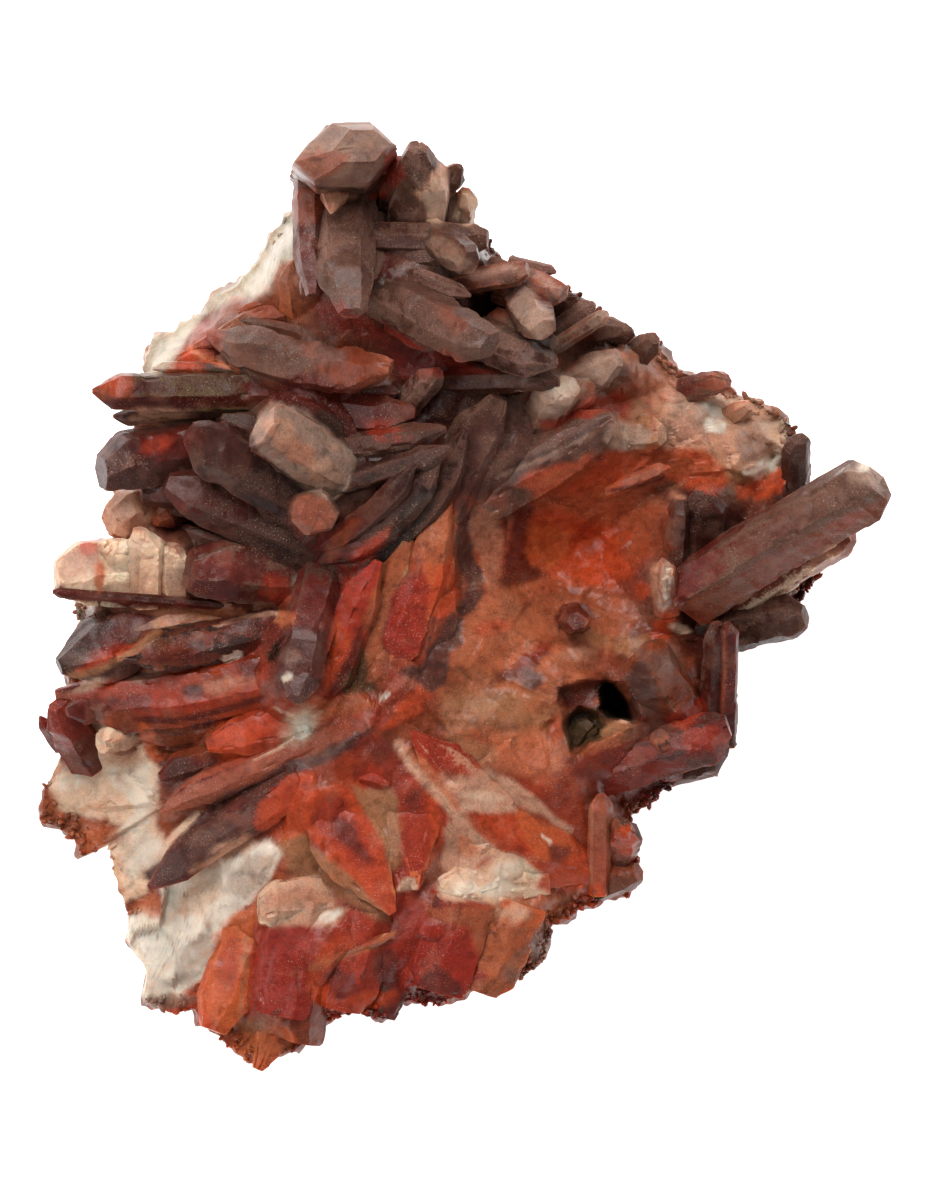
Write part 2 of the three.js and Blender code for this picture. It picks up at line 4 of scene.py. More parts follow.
import bpy
import numpy as np
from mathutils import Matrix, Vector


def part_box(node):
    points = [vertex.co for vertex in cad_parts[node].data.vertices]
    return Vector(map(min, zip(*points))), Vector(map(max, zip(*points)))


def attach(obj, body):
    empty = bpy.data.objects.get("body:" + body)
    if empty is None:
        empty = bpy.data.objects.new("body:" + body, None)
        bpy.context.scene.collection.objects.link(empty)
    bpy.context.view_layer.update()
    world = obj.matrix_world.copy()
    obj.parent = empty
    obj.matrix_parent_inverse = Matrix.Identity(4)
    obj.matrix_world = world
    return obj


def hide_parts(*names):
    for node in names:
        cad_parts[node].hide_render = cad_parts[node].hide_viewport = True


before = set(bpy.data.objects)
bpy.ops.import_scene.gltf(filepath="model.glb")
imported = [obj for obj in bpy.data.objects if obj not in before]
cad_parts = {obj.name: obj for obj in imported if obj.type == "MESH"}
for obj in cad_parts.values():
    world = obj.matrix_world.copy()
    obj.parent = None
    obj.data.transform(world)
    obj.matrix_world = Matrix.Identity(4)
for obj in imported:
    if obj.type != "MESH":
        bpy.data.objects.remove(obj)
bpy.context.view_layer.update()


# ------------------------------------------------------------------- the crown
# The thick brown-grey crystals at the head of the cluster, lying over each other, with one broad
# pale-capped crystal standing straight up behind them. All are coated with granular iron stain, the cap
# least.
LENGTH = 117.2  # the cluster's length in millimetres, in which all its crystals are placed
low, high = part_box("quartz_cluster")
MM = (high.y - low.y) / LENGTH  # one of those millimetres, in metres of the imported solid
# The shades of the stain, from clear milky quartz to the darkest iron.
COLOURS = {
    "milk": "ebe1d4", "ice": "d3c8ba", "chalk": "b8ae9e", "cream": "d6b69e", "shell": "c0927a",
    "mist": "a58a7c", "blush": "ad735b", "peach": "bb6a48", "tan": "996a4b", "smoke": "866a5c",
    "rose": "91503d", "amber": "b85a30", "clay": "9c5436", "ember": "b04322", "rust": "7e3c23",
    "brick": "96321f", "blood": "8c281c", "ash": "725248", "bark": "5e4034", "umber": "4e3128",
    "olive": "4e3a26", "garnet": "602620", "oxblood": "521810", "wine": "431610", "plum": "4c2c27",
    "coal": "341b16", "soot": "150b08",
}
# Each crystal is a row: name, root and tip, width, thickness as a share of it, roll in degrees, length of
# the point, bluntness of the tip, length of a tapered root, sideways bow, then its colours: at the root,
# at the tip, of the veil over it, and how much of it the veil covers.
CROWN = [
    ("cap", (-14.5, 53.1, 16), (-14.5, 55.1, 42), 14.0, 0.6, 3, 4.4, 0.5, 0, 0,
     "garnet", "smoke", "bark", 0.25),
    ("cap_stem", (-15.6, 53, 27), (-16, 47.6, 33), 4, 0.8, 20, 4, 0, 0, 0, "rose", "blush", "bark", 0.1),
    ("cap_flank", (-19.2, 52, 26), (-19, 37.4, 31), 4.2, 0.9, 12, 5, 0.4, 0, 0,
     "garnet", "wine", "umber", 0.35),
    ("keel", (-14.2, 51, 24), (-14.5, 35.6, 35), 7.6, 0.72, 2, 5, 0.45, 0, 0, "umber", "bark", "ash", 0.6),
    ("fin", (-6.5, 44.6, 20), (-4.5, 55.3, 33), 8.2, 0.75, 26, 4.5, 0.35, 0, 0,
     "umber", "bark", "ash", 0.5),
    ("fin_west", (-7.6, 46, 20), (-8, 54.4, 29), 3.6, 0.9, 0, 2, 0.2, 0, 0, "umber", "bark", "ash", 0.4),
    ("fin_east", (-4, 49, 22), (-0.6, 53.2, 29), 3.2, 0.9, 30, 2, 0.35, 0, 0, "umber", "bark", "ash", 0.4),
    ("fin_tooth", (-1.2, 45.5, 17), (0.6, 50.4, 25), 3.6, 0.9, 10, 2, 0.4, 0, 0,
     "rose", "tan", "bark", 0.3),
    ("lintel", (-12, 44.9, 27), (2.9, 44.5, 30), 3.6, 0.9, 16, 1.4, 0.6, 0, 0,
     "plum", "umber", "bark", 0.5),
    ("lintel_low", (-11.5, 42.4, 25), (-2.4, 42.8, 29), 3.4, 0.9, 4, 1.6, 0.4, 0, 0,
     "wine", "umber", "bark", 0.5),
    ("block", (-5.2, 45.8, 26), (1, 41.6, 35), 4.2, 0.85, 4, 1, 0.75, 0, 0, "umber", "bark", "umber", 0.4),
    ("beam", (-10.2, 38.4, 26), (2.6, 31.2, 36), 6.6, 0.8, -4, 2.4, 0.6, 0, 0,
     "umber", "umber", "bark", 0.45),
    ("beam_rail", (-10, 41.6, 26), (0.8, 37.4, 31), 2.4, 0.9, 20, 2, 0.2, 0, 0,
     "garnet", "bark", "ash", 0.5),
    ("arch", (-3, 38.8, 25), (7.8, 40.6, 29), 3.2, 0.9, 10, 1.6, 0.5, 0, 0, "umber", "bark", "rose", 0.4),
    ("arch_east", (3, 40.4, 22), (12.2, 37.4, 28), 4.6, 0.85, 22, 2, 0.5, 0, 0,
     "bark", "rose", "ash", 0.4),
    ("lantern", (6.6, 38.6, 22), (9.6, 33.4, 33.6), 4.9, 0.85, 14, 1.8, 0.6, 0, 0,
     "garnet", "bark", "ash", 0.4),
    ("step", (1.6, 32.6, 24), (10.6, 28.9, 30), 6, 0.9, -8, 2.6, 0.25, 0, 0, "umber", "umber", "ash", 0.5),
    ("step_back", (4, 34.4, 23), (10.8, 31.6, 29), 4.2, 0.9, 20, 2, 0.4, 0, 0,
     "wine", "umber", "bark", 0.5),
    ("rod_long", (9.4, 30.2, 21), (17.8, 35.4, 27), 2.1, 0.9, 0, 1, 0.5, 0, 0,
     "rose", "bark", "smoke", 0.5),
    ("rod_mid", (10.2, 32.4, 20), (16, 36.8, 25), 2.6, 0.9, 18, 1.4, 0.3, 0, 0, "wine", "ash", "ash", 0.5),
    ("rod_back", (9.5, 35.2, 19), (14.2, 37.4, 24), 2.4, 0.9, 8, 1.2, 0.3, 0, 0,
     "wine", "umber", "bark", 0.5),
    ("rod_end", (13.4, 32.2, 17), (19.5, 34.1, 22), 3, 0.9, 24, 1.6, 0.4, 0, 0,
     "garnet", "umber", "bark", 0.5),
    ("dusk", (-5, 27.2, 21), (11.6, 27.4, 27), 4, 0.85, 12, 3, 0.3, 0, 0, "wine", "umber", "umber", 0.4),
    ("pebble_grey", (-7.4, 23.6, 22), (-3.4, 28.4, 29), 3.8, 0.9, 0, 2, 0.5, 0, 0,
     "wine", "umber", "ash", 0.5),
]
# What is painted on the crystals of a group and on the quartz around them, seen from above: its kind,
# colour, strength, softness of its edge and shape. A field has corners, a vein follows a line and is as
# wide as it is soft, and a spot has a middle, two radii and a turn in degrees. Each lies over the ones
# before it.
CROWN_PAINT = [
    ("field", "smoke", 0.85, 0.5, [(-20.6, 55.6), (-20.2, 57.4), (-14.4, 60), (-9.2, 59), (-7.4, 55.6),
     (-10, 55.3), (-13, 55.3), (-16, 55.6)]),
    ("field", "rose", 0.75, 0.5, [(-21.6, 53.2), (-20.4, 55.2), (-16, 55.4), (-13.8, 55), (-14.2, 53.2),
     (-15.4, 51.8), (-17, 51.2), (-20, 51)]),
    ("spot", "ash", 0.45, 0.9, (-13.6, 57, 6.4, 1.5, 0)),
    ("field", "ash", 0.8, 0.3, [(-13.2, 55.2), (-12, 55.5), (-8.6, 55.3), (-8.4, 53), (-10, 50.6),
     (-14, 50.2), (-18, 50.6), (-18.8, 51.6), (-16.6, 52.2), (-15.2, 52), (-13.9, 53.4)]),
    ("vein", "smoke", 0.85, 0.45, [(-13.3, 55.3), (-14.1, 53.2), (-15.8, 51.9)]),
    ("field", "ash", 0.8, 0.4, [(-21.6, 52.8), (-20, 53), (-17.6, 51), (-18.4, 50), (-21.6, 51)]),
    ("field", "blood", 0.85, 0.5, [(-9.6, 54.8), (-8, 55), (-7.2, 52.4), (-9.6, 49.8), (-12.4, 49.4),
     (-10.6, 51), (-9.8, 53)]),
    ("vein", "soot", 0.8, 0.3, [(-19.6, 50.9), (-16, 50.6), (-12.4, 50.6)]),
    ("field", "shell", 0.8, 0.4, [(-18, 50), (-12.6, 50), (-15, 49.4), (-16.2, 47), (-17, 49.4)]),
    ("field", "rust", 0.8, 0.6, [(-21.4, 50.6), (-18.4, 51.2), (-17, 49), (-18, 46), (-20.4, 46),
     (-21.6, 48.4)]),
    ("field", "ash", 0.7, 0.5, [(-17.6, 45), (-15, 48.8), (-12, 48.6), (-11, 45), (-11.2, 43.4),
     (-17.6, 43.4)]),
    ("field", "bark", 0.7, 0.5, [(-17.8, 42.8), (-11.2, 42.8), (-11.2, 38), (-12.6, 36.4), (-15.4, 36.4),
     (-17.8, 38.6)]),
    ("field", "shell", 0.9, 0.4, [(-6, 50.2), (-4.4, 52.2), (-2.4, 54.4), (-1.6, 50), (-2.8, 46.2),
     (-4.4, 46.6), (-4.8, 49)]),
    ("spot", "ice", 0.4, 1, (-3.4, 49.4, 1.6, 3, 0)),
    ("field", "cream", 0.8, 0.5, [(-1.4, 47.2), (-0.6, 50.4), (0.8, 50.8), (2, 48.6), (1.6, 46.4),
     (0, 46.4)]),
    ("field", "smoke", 0.75, 0.4, [(-4.8, 43.6), (-3.6, 45), (-1.6, 44.6), (1.2, 41.4), (-1.6, 40),
     (-2.2, 41.6)]),
    ("field", "umber", 0.8, 0.4, [(-4, 46.6), (-0.6, 46.4), (2.6, 44.6), (3.6, 41.6), (1.6, 41),
     (-1.4, 44.2), (-3.8, 45.2)]),
    ("field", "umber", 0.6, 0.8, [(-10, 38.6), (-7.4, 39.6), (-3.4, 37), (-5, 34), (-9, 36)]),
    ("vein", "mist", 0.7, 0.8, [(1, 40), (5, 40.9), (9, 40.2), (11.6, 38.2)]),
    ("field", "garnet", 0.6, 0.6, [(-20.8, 45.4), (-18, 45.4), (-18, 37.2), (-20.4, 37.2)]),
    ("field", "ash", 0.4, 0.8, [(-9, 38), (-7, 39.8), (-4, 38.6), (0, 35.6), (3, 33.4), (2.6, 31.2),
     (0.6, 30.4), (-2, 31.8), (-5.6, 33.6)]),
    ("spot", "rose", 0.4, 1.2, (-1.4, 34.6, 2.6, 1.2, -40)),
    ("field", "rose", 0.4, 0.7, [(-1, 39.4), (3, 41.6), (6, 42.4), (10, 41), (12.4, 39.4), (12.4, 38),
     (9.6, 38), (7, 39.6), (0, 38.4)]),
    ("field", "mist", 0.8, 0.5, [(5.4, 36.4), (7, 38.8), (8.6, 38.2), (10.8, 35), (11, 33), (9.2, 32.2),
     (6.4, 34.6)]),
    ("field", "clay", 0.4, 0.6, [(0.4, 38), (5.2, 38.4), (5.2, 34.4), (3.6, 34.6), (1, 36)]),
    ("field", "blood", 0.6, 0.6, [(-20, 36.4), (-17, 37.4), (-13, 35.4), (-6, 32), (0, 29.6), (4, 28),
     (-8, 27.4), (-10, 31), (-16, 33.4)]),
]
COS30 = math.cos(math.pi / 6)
FACE_SPREAD = 0.26  # how unequal the distances of a crystal's faces from its axis are
SHOULDER_STEP = 0.55  # how unequal the heights are where its point's faces start, as a share of the point
TIP_LEAN = 0.3  # how far its tip may stand off its axis, as a share of its width
SHARPEST = 0.05  # bluntness of the sharpest point
EDGE_POWER = 160  # how sharp the edges between faces are
COLUMN_STEP = 0.5  # distance between columns across a face of a main crystal
KIN_STEPS = np.array([0, 0.08, 0.35, 0.65, 0.92])  # columns across a face of the small ones beside it
RING_STEP = 0.42  # distance between rings on the prism of a main crystal
BODY_RINGS = (12, 80)  # rings on that prism, at least and at most
KIN_RINGS = 8  # rings on the prism of a small one
HEAD_RINGS = 12  # rings on a main crystal's point, at least
END_RINGS = (0.72, 0.4)  # rings that close each end, as shares of the last one
WORN = 0.12  # depth of the wear on the faces
TERRACE = 0.16  # height of the growth steps on them
CHIP = 0.5  # depth of the chips on the edges


def linear(name):
    """A named colour as light: each channel c of the hex word becomes ((c + 0.055) / 1.055) ^ 2.4."""
    word = COLOURS[name]
    channels = np.array([int(word[k : k + 2], 16) for k in (0, 2, 4)]) / 255
    return ((channels + 0.055) / 1.055) ** 2.4


def chance(seed, count):
    """A repeatable share from 0 to 1: what is left after the point of a large multiple of a sine."""
    value = np.sin(seed * 12.9898 + count * 78.233) * 43758.5453
    return value - np.floor(value)


def smooth(start, end, value):
    """0 before start, 1 after end, and 3t^2 - 2t^3 of the way t in between."""
    t = np.clip((value - start) / (end - start), 0, 1)
    return t * t * (3 - 2 * t)


def haze(points, size, seed):
    """Soft random values around zero: each corner of a grid of cubes holds a chance, and a point takes the
    eased mix of its cube's eight corners, less a half."""
    cell = points / size + 31.7 * chance(seed, 5)
    base = np.floor(cell)
    ease = cell - base
    ease = ease * ease * (3 - 2 * ease)
    total = 0.0
    for corner in itertools.product((0, 1), repeat=3):
        index = base + corner
        weight = np.prod(np.where(np.array(corner) > 0, ease, 1 - ease), axis=-1)
        total = total + weight * chance(index[..., 0] + 57 * index[..., 1], index[..., 2] + 0.37 * seed)
    return total - 0.5


def rugged(points, size, seed, layers=3):
    """Haze added over itself, each layer at half the size and about half the height of the last."""
    return sum(0.55**k * haze(points, size / 2**k, seed + k) for k in range(layers))


def blot(x, y, spot_x, spot_y, across, along, turn):
    """Distance from a spot's middle, in units of its two radii turned by an angle: 1 is its edge."""
    angle = math.radians(turn)
    u = (x - spot_x) * math.cos(angle) + (y - spot_y) * math.sin(angle)
    v = (y - spot_y) * math.cos(angle) - (x - spot_x) * math.sin(angle)
    return np.hypot(u / across, v / along)


def make_mesh(name, vertices, faces, sharp, **values):
    """Puts points in millimetres and faces of four corners (a repeated corner makes a triangle) into a
    mesh, with each named value on its points: three numbers as a colour, one number as a float. Edges that
    turn by more than sharp degrees are creased."""
    mesh = bpy.data.meshes.new(name)
    triangle = faces[:, 3] == faces[:, 2]
    sizes = np.where(triangle, 3, 4)
    keep = np.ones(faces.shape, bool)
    keep[triangle, 3] = False
    corners = faces[keep]
    mesh.vertices.add(len(vertices))
    mesh.vertices.foreach_set("co", (vertices * MM).astype(np.float32).ravel())
    mesh.loops.add(len(corners))
    mesh.loops.foreach_set("vertex_index", corners.astype(np.int32))
    mesh.polygons.add(len(faces))
    mesh.polygons.foreach_set("loop_start", np.concatenate([[0], np.cumsum(sizes)[:-1]]).astype(np.int32))
    mesh.polygons.foreach_set("use_smooth", np.ones(len(faces), bool))
    mesh.update(calc_edges=True)
    for key, value in values.items():
        if np.ndim(value) == 2:
            data = mesh.attributes.new(key, "FLOAT_COLOR", "POINT").data
            rgba = np.concatenate([np.clip(value, 0, 1), np.ones((len(value), 1))], axis=1)
            data.foreach_set("color", rgba.astype(np.float32).ravel())
        else:
            data = mesh.attributes.new(key, "FLOAT", "POINT").data
            data.foreach_set("value", np.asarray(value, np.float32))
    mesh.validate()
    mesh.set_sharp_from_angle(angle=math.radians(sharp))
    piece = bpy.data.objects.new(name, mesh)
    bpy.context.scene.collection.objects.link(piece)
    return piece


def axes(root, tip):
    """A crystal's length, the direction of its axis, and the two directions across it: level, and
    upward."""
    axis = np.array(tip, float) - root
    length = np.linalg.norm(axis)
    axis = axis / length
    side = np.cross((0, 0, 1), axis)
    side = side / np.linalg.norm(side)
    return length, axis, side, np.cross(axis, side)


def crystal(seed, row, fine):
    """One quartz crystal as rings along its axis. At each height face k lies at distance D_k from the
    axis: its own reach on the prism, with one step in it, falling evenly to nothing at the peak. Round the
    axis the skin is at the distance r with 1 / r = the power mean of cos(angle to face k) / D_k: six sides
    with slightly worn edges."""
    _, root, tip, width, thick, roll, point, blunt, rear, bow, first, last, veil, cover = row
    length, axis, side, up = axes(root, tip)
    k = np.arange(6)
    facing = math.radians(roll) + (2 * k + 1) * math.pi / 6
    flat = width / 2 * COS30 * (1 + FACE_SPREAD * (chance(seed, k) - 0.5))
    shoulder = length - point * (1 + SHOULDER_STEP * (chance(seed, 30 + k) - 0.5))
    dull = max(blunt, SHARPEST)
    peak = length + point * dull / (1 - dull)
    first_shoulder = max(shoulder.min(), 0.2 * length)
    body_rings, head_rings = KIN_RINGS, HEAD_RINGS // 2
    if fine:
        body_rings = int(np.clip(first_shoulder / RING_STEP, *BODY_RINGS))
        head_rings = max(HEAD_RINGS, round((length - first_shoulder) / RING_STEP))
    body = np.linspace(0, first_shoulder, body_rings, endpoint=False)
    head = np.linspace(first_shoulder, length, head_rings)
    height = np.concatenate([body, head])[:, None]
    t = height / length
    step = 1 - 0.09 * chance(seed, 120 + k) * smooth(0, 0.03, t - 0.2 - 0.6 * chance(seed, 110 + k))
    away = np.minimum(flat * step, flat * (peak - height) / (peak - shoulder))
    if rear:
        taper = rear * (1 + 0.5 * (chance(seed, 20 + k) - 0.5))
        away = np.minimum(away, flat * (0.12 + 0.88 * height / taper))
    corner = np.arctan2(np.roll(away, -1, axis=1) / away - 0.5, COS30)
    corner = facing + np.clip(corner, math.radians(3), math.radians(57))
    before = np.roll(corner, 1, axis=1) - 2 * math.pi * (k == 0)
    inner = np.linspace(0.08, 0.92, max(5, round(width / 2 / COLUMN_STEP)))
    steps = np.concatenate([[0, 0.02], inner, [0.98]]) if fine else KIN_STEPS
    turn = (before[:, :, None] + (corner - before)[:, :, None] * steps).reshape(len(height), -1)
    pull = np.maximum(np.cos(turn[:, :, None] - facing), 0) / away[:, None, :]
    radius = (pull**EDGE_POWER).sum(axis=-1) ** (-1 / EDGE_POWER)
    ordered = np.sort(pull, axis=-1)
    edge = smooth(0.8, 0.99, ordered[..., -2] / ordered[..., -1])
    face = pull.argmax(axis=-1) + 6 * (height > shoulder[pull.argmax(axis=-1)])
    lean = smooth(0, 1, (height - first_shoulder) / (length - first_shoulder))
    shift_x = TIP_LEAN * width * (chance(seed, 11) - 0.5) * lean + 4 * bow * t * (1 - t)
    shift_y = TIP_LEAN * width * thick * (chance(seed, 12) - 0.5) * lean
    pick = np.concatenate([[0, 0], np.arange(len(height)), [-1, -1]])
    size = np.concatenate([END_RINGS[::-1], np.ones(len(height)), END_RINGS])[:, None]
    turn = turn[pick]
    across = radius[pick] * size * np.cos(turn) + shift_x[pick]
    above = radius[pick] * size * np.sin(turn) * thick + shift_y[pick]
    rings = root + height[pick][..., None] * axis + across[..., None] * side + above[..., None] * up
    outward = np.cos(turn)[..., None] * side + np.sin(turn)[..., None] * up
    worn = WORN * rugged(rings, 3.4, 40, 2) + 0.08 * haze(rings, 0.9, 43)
    terrace = TERRACE * smooth(0.05, 0.1, haze(rings + 7.0 * seed, 2.6, 44))
    chipped = CHIP * edge[pick] * smooth(0.12, 0.4, haze(rings, 1.7, 45))
    rings = rings + (size * min(1, width / 5) * (worn + terrace - chipped))[..., None] * outward
    poles = [rings[0].mean(axis=0), rings[-1].mean(axis=0)]
    grown = np.stack(np.broadcast_arrays(across, above, height[pick] / 3.5), axis=-1) + 9.3 * seed
    streak = rugged(grown, 1.8, 70, 2)
    along = smooth(0.1, 0.95, t[pick] + 0.3 * streak)
    tone = (0.8 + 0.42 * chance(seed, 60 + face[pick])) * (1 + 0.5 * streak) * (1 if fine else 0.85)
    tint = linear(first) + along[..., None] * (linear(last) - linear(first))
    # The veil is thicker on the edges: wear there, and where the veil is paler than the crystal also
    # painted highlights along the edges.
    veil_share = cover + 0.25 * (chance(seed, 80 + face[pick]) - 0.5) + 0.3 * edge[pick]
    return rings, poles, tint * tone[..., None], linear(veil) * tone[..., None], veil_share + 0.5 * streak


KIN_UPRIGHT = 0.9  # crystals more upright than this, as the upward share of their axis, have no kin
KIN_WIDTH = 4.5  # nor have narrower ones than this


def kin(seed, row, count):
    """Small crystals grown beside a large one, low on its flanks, turned a little off its direction and
    shorter than it. Yields them as rows."""
    name, root, tip, width, _, _, _, _, _, _, first, last, veil, cover = row
    length, axis, side, up = axes(root, tip)
    for j in range(count if axis[2] < KIN_UPRIGHT and width > KIN_WIDTH else 0):
        luck = chance(seed + 0.37, 200 + 10 * j + np.arange(8))
        hand = 1 if j % 2 else -1
        start = root + side * hand * width * (0.3 + 0.25 * luck[0])
        start = start + axis * length * (0.1 + 0.15 * luck[2]) - up * width * (0.1 + 0.3 * luck[1])
        heading = axis + side * hand * 0.16 * luck[3] + up * 0.2 * (luck[4] - 0.7)
        end = start + heading * length * (0.3 + 0.35 * luck[6])
        size = width * (0.26 + 0.28 * luck[5])
        form = (size, 0.85, 60 * luck[7], 0.8 * size, 0.2, 0, 0)
        yield (name, start, end, *form, first, last, veil, cover + 0.15)


def outside(x, y, shape, closed):
    """Distance from a line through corners in the plane. Of a closed outline it is counted below zero
    inside, where a ray to the right crosses the outline an odd number of times."""
    corners = np.array(shape, float)
    nearest = np.full(np.shape(x), np.inf)
    inside = np.zeros(np.shape(x), bool)
    ends = np.roll(corners, -1, axis=0)
    edges = list(zip(corners, ends))
    for (ax, ay), (bx, by) in edges if closed else edges[:-1]:
        run = (bx - ax) ** 2 + (by - ay) ** 2
        share = np.clip(((x - ax) * (bx - ax) + (y - ay) * (by - ay)) / run, 0, 1)
        nearest = np.minimum(nearest, np.hypot(x - ax - share * (bx - ax), y - ay - share * (by - ay)))
        if ay != by:
            inside ^= ((ay > y) != (by > y)) & (x < (bx - ax) * (y - ay) / (by - ay) + ax)
    return np.where(inside, -nearest, nearest) if closed else nearest


def laid(x, y, fray, kind, soft, shape):
    """The share, from 0 to 1, of a painted shape at each point: it falls off across the shape's edge over
    twice its softness, and haze frays the edge."""
    if kind == "spot":
        return smooth(1 + 0.3 * soft, 1 - 0.5 * soft, blot(x, y, *shape) + 0.5 * fray)
    if kind == "vein":
        return smooth(soft, 0.4 * soft, outside(x, y, shape, False) + 0.3 * soft * fray)
    return smooth(soft, -soft, outside(x, y, shape, True) + (0.3 + soft) * fray)


VEIL_LOSS = 0.75  # share of the veil that a painted shape takes away


def painted(points, tints, covers, paint):
    """Lays painted shapes over the tints of points, and thins the veil there. Only points in a shape's own
    box, with a margin, are worked out."""
    fray = rugged(points, 2.0, 51) + 0.3 * rugged(points, 1.0, 53, 2)
    tints, covers = tints.copy(), covers.copy()
    for kind, colour, strength, soft, shape in paint:
        corners = [shape[:2]] if kind == "spot" else shape
        margin = 2 * max(shape[2:4]) if kind == "spot" else 2 + soft
        above_low = points[:, :2] > np.min(corners, axis=0) - margin
        below_high = points[:, :2] < np.max(corners, axis=0) + margin
        near = np.flatnonzero((above_low & below_high).all(axis=1))
        share = strength * laid(points[near, 0], points[near, 1], fray[near], kind, soft, shape)
        tints[near] += share[:, None] * (linear(colour) - tints[near])
        covers[near] *= 1 - VEIL_LOSS * share
    return tints, covers


def shattered(x, y, size, seed, slope, step):
    """Flat splinters: every point belongs to the nearest of random centres, one in each square of a grid,
    and lies on that centre's own plane, sloped and raised by chance; near a seam it is drawn to the mean
    of both planes. Returns that height and how much farther the second nearest centre is, which is nothing
    on a seam."""
    u, v = x / size, y / size
    away, plane = [], []
    for i, j in itertools.product((-1, 0, 1), repeat=2):
        key = (np.floor(u) + i) * 1.31 + (np.floor(v) + j) * 7.77 + seed
        du, dv = u - np.floor(u) - i - chance(key, 1), v - np.floor(v) - j - chance(key, 2)
        lean = (chance(key, 3) - 0.5) * du + (chance(key, 4) - 0.5) * dv
        away.append(np.hypot(du, dv))
        plane.append(2 * slope * size * lean + step * (chance(key, 5) - 0.5))
    order = np.argsort(away, axis=0)[:2]
    near, far = np.take_along_axis(np.array(away), order, axis=0)
    first, second = np.take_along_axis(np.array(plane), order, axis=0)
    return first + 0.5 * (second - first) * smooth(0.09, 0, far - near), far - near


RED_LOSS = np.array([0.14, 0.38, 0.45])  # light that a red fleck takes from each channel
BROWN_LOSS = np.array([0.1, 0.2, 0.25])  # the same for a brown mottle
CRACK_LOSS = 0.35  # and for a crack


def flecked(points, colour):
    """Varies a colour from place to place: paler and redder flecks where noise rises over a level, brown
    mottles on pale stone, and thin dark cracks where another noise crosses nothing."""
    flat = points * (1, 1, 0.3)
    pale = smooth(0.15, 0.4, colour[:, 2:])
    pale_fleck = 0.2 * smooth(0.12, 0.4, rugged(flat, 3.2, 61))[:, None]
    red_fleck = 0.35 * smooth(0.1, 0.36, rugged(flat, 2.6, 62))[:, None]
    mottle = pale * smooth(0.0, 0.3, rugged(flat, 1.3, 66, 2))[:, None]
    crack = smooth(0.035, 0.005, np.abs(rugged(flat, 4.0, 64)))
    crack = crack * smooth(-0.1, 0.2, rugged(flat, 6, 65))
    colour = colour + pale_fleck * (0.5 * linear("shell") - 0.5 * colour)
    colour = colour * (1 - red_fleck * (1 - pale) * RED_LOSS) * (1 - mottle * BROWN_LOSS)
    return colour * (1 - CRACK_LOSS * crack[:, None])


SPLINTER_RISE = 0.7  # how much of the splinters' height a crystal's skin is raised by


def crystal_group(name, rows, first_seed, paint, kin_count):
    """All crystals of a group and their kin as one mesh: the rings of every crystal, joined by squares and
    closed at both poles, and painted. Where the stone is pale it is splintered."""
    seeds = [first_seed + i for i in range(len(rows))]
    parts = [crystal(seed, row, True) for seed, row in zip(seeds, rows)]
    for seed, row in zip(seeds, rows):
        for j, small in enumerate(kin(seed, row, kin_count), 1):
            parts.append(crystal(seed + 0.11 * j, small, False))
    points, tints, veils, covers, faces = [], [], [], [], []
    count = 0
    for rings, poles, tint, veil, cover in parts:
        rows_count, columns = rings.shape[:2]
        index = count + np.arange(rows_count * columns).reshape(rows_count, columns)
        turned = np.roll(index, -1, axis=1)
        faces.append(np.stack([index[:-1], turned[:-1], turned[1:], index[1:]], axis=-1).reshape(-1, 4))
        last = count + rows_count * columns
        root_pole = np.full(columns, last)
        faces.append(np.stack([root_pole, turned[0], index[0], index[0]], axis=-1))
        faces.append(np.stack([root_pole + 1, index[-1], turned[-1], turned[-1]], axis=-1))
        points += [rings.reshape(-1, 3), np.array(poles)]
        tints += [tint.reshape(-1, 3), tint[[0, -1], 0]]
        veils += [veil.reshape(-1, 3), veil[[0, -1], 0]]
        covers += [cover.ravel(), cover[[0, -1], 0]]
        count = last + 2
    points, tints, veils, covers = map(np.concatenate, (points, tints, veils, covers))
    tints, covers = painted(points, tints, covers, paint)
    pale = smooth(0.22, 0.42, tints[:, 2])
    x, slant = points[:, 0], points[:, 1] + points[:, 2]
    broken = shattered(x, slant, 2.3, 31, 0.35, 0.8)[0] + shattered(x, slant, 1.1, 33, 0.4, 0.3)[0]
    points = points + (0, 0, SPLINTER_RISE) * (pale * broken)[:, None]
    tints = flecked(points, tints)
    return make_mesh(name, points, np.concatenate(faces), 24, tint=tints, veil=veils, cover=covers)


class Wire:
    """A socket of a material's node tree. Sums and products of wires and numbers add Math nodes to it."""

    tree = None

    def __init__(self, socket):
        self.socket = socket

    @classmethod
    def node(cls, kind, settings=None, inputs=None, output=0):
        """Adds a node: its settings first, then the value or wire of each socket. Returns one output as a
        wire."""
        made = cls.tree.nodes.new(kind)
        for key, value in (settings or {}).items():
            setattr(made, key, value)
        for key, value in (inputs or {}).items():
            if isinstance(value, Wire):
                cls.tree.links.new(value.socket, made.inputs[key])
            else:
                made.inputs[key].default_value = value
        return cls(made.outputs[output]) if made.outputs else None

    def math(self, operation, other=0.0):
        return Wire.node("ShaderNodeMath", {"operation": operation}, {0: self, 1: other})

    def __add__(self, other):
        return self.math("ADD", other)

    def __sub__(self, other):
        return self.math("SUBTRACT", other)

    def __mul__(self, other):
        return self.math("MULTIPLY", other)

    def __rsub__(self, other):
        return Wire.node("ShaderNodeMath", {"operation": "SUBTRACT"}, {0: other, 1: self})

    __radd__ = __add__
    __rmul__ = __mul__

    def rising(self, start, end):
        """0 below start, 1 above end, eased between."""
        ends = {"From Min": start, "From Max": end, "Value": self}
        return Wire.node("ShaderNodeMapRange", {"interpolation_type": "SMOOTHSTEP"}, ends)


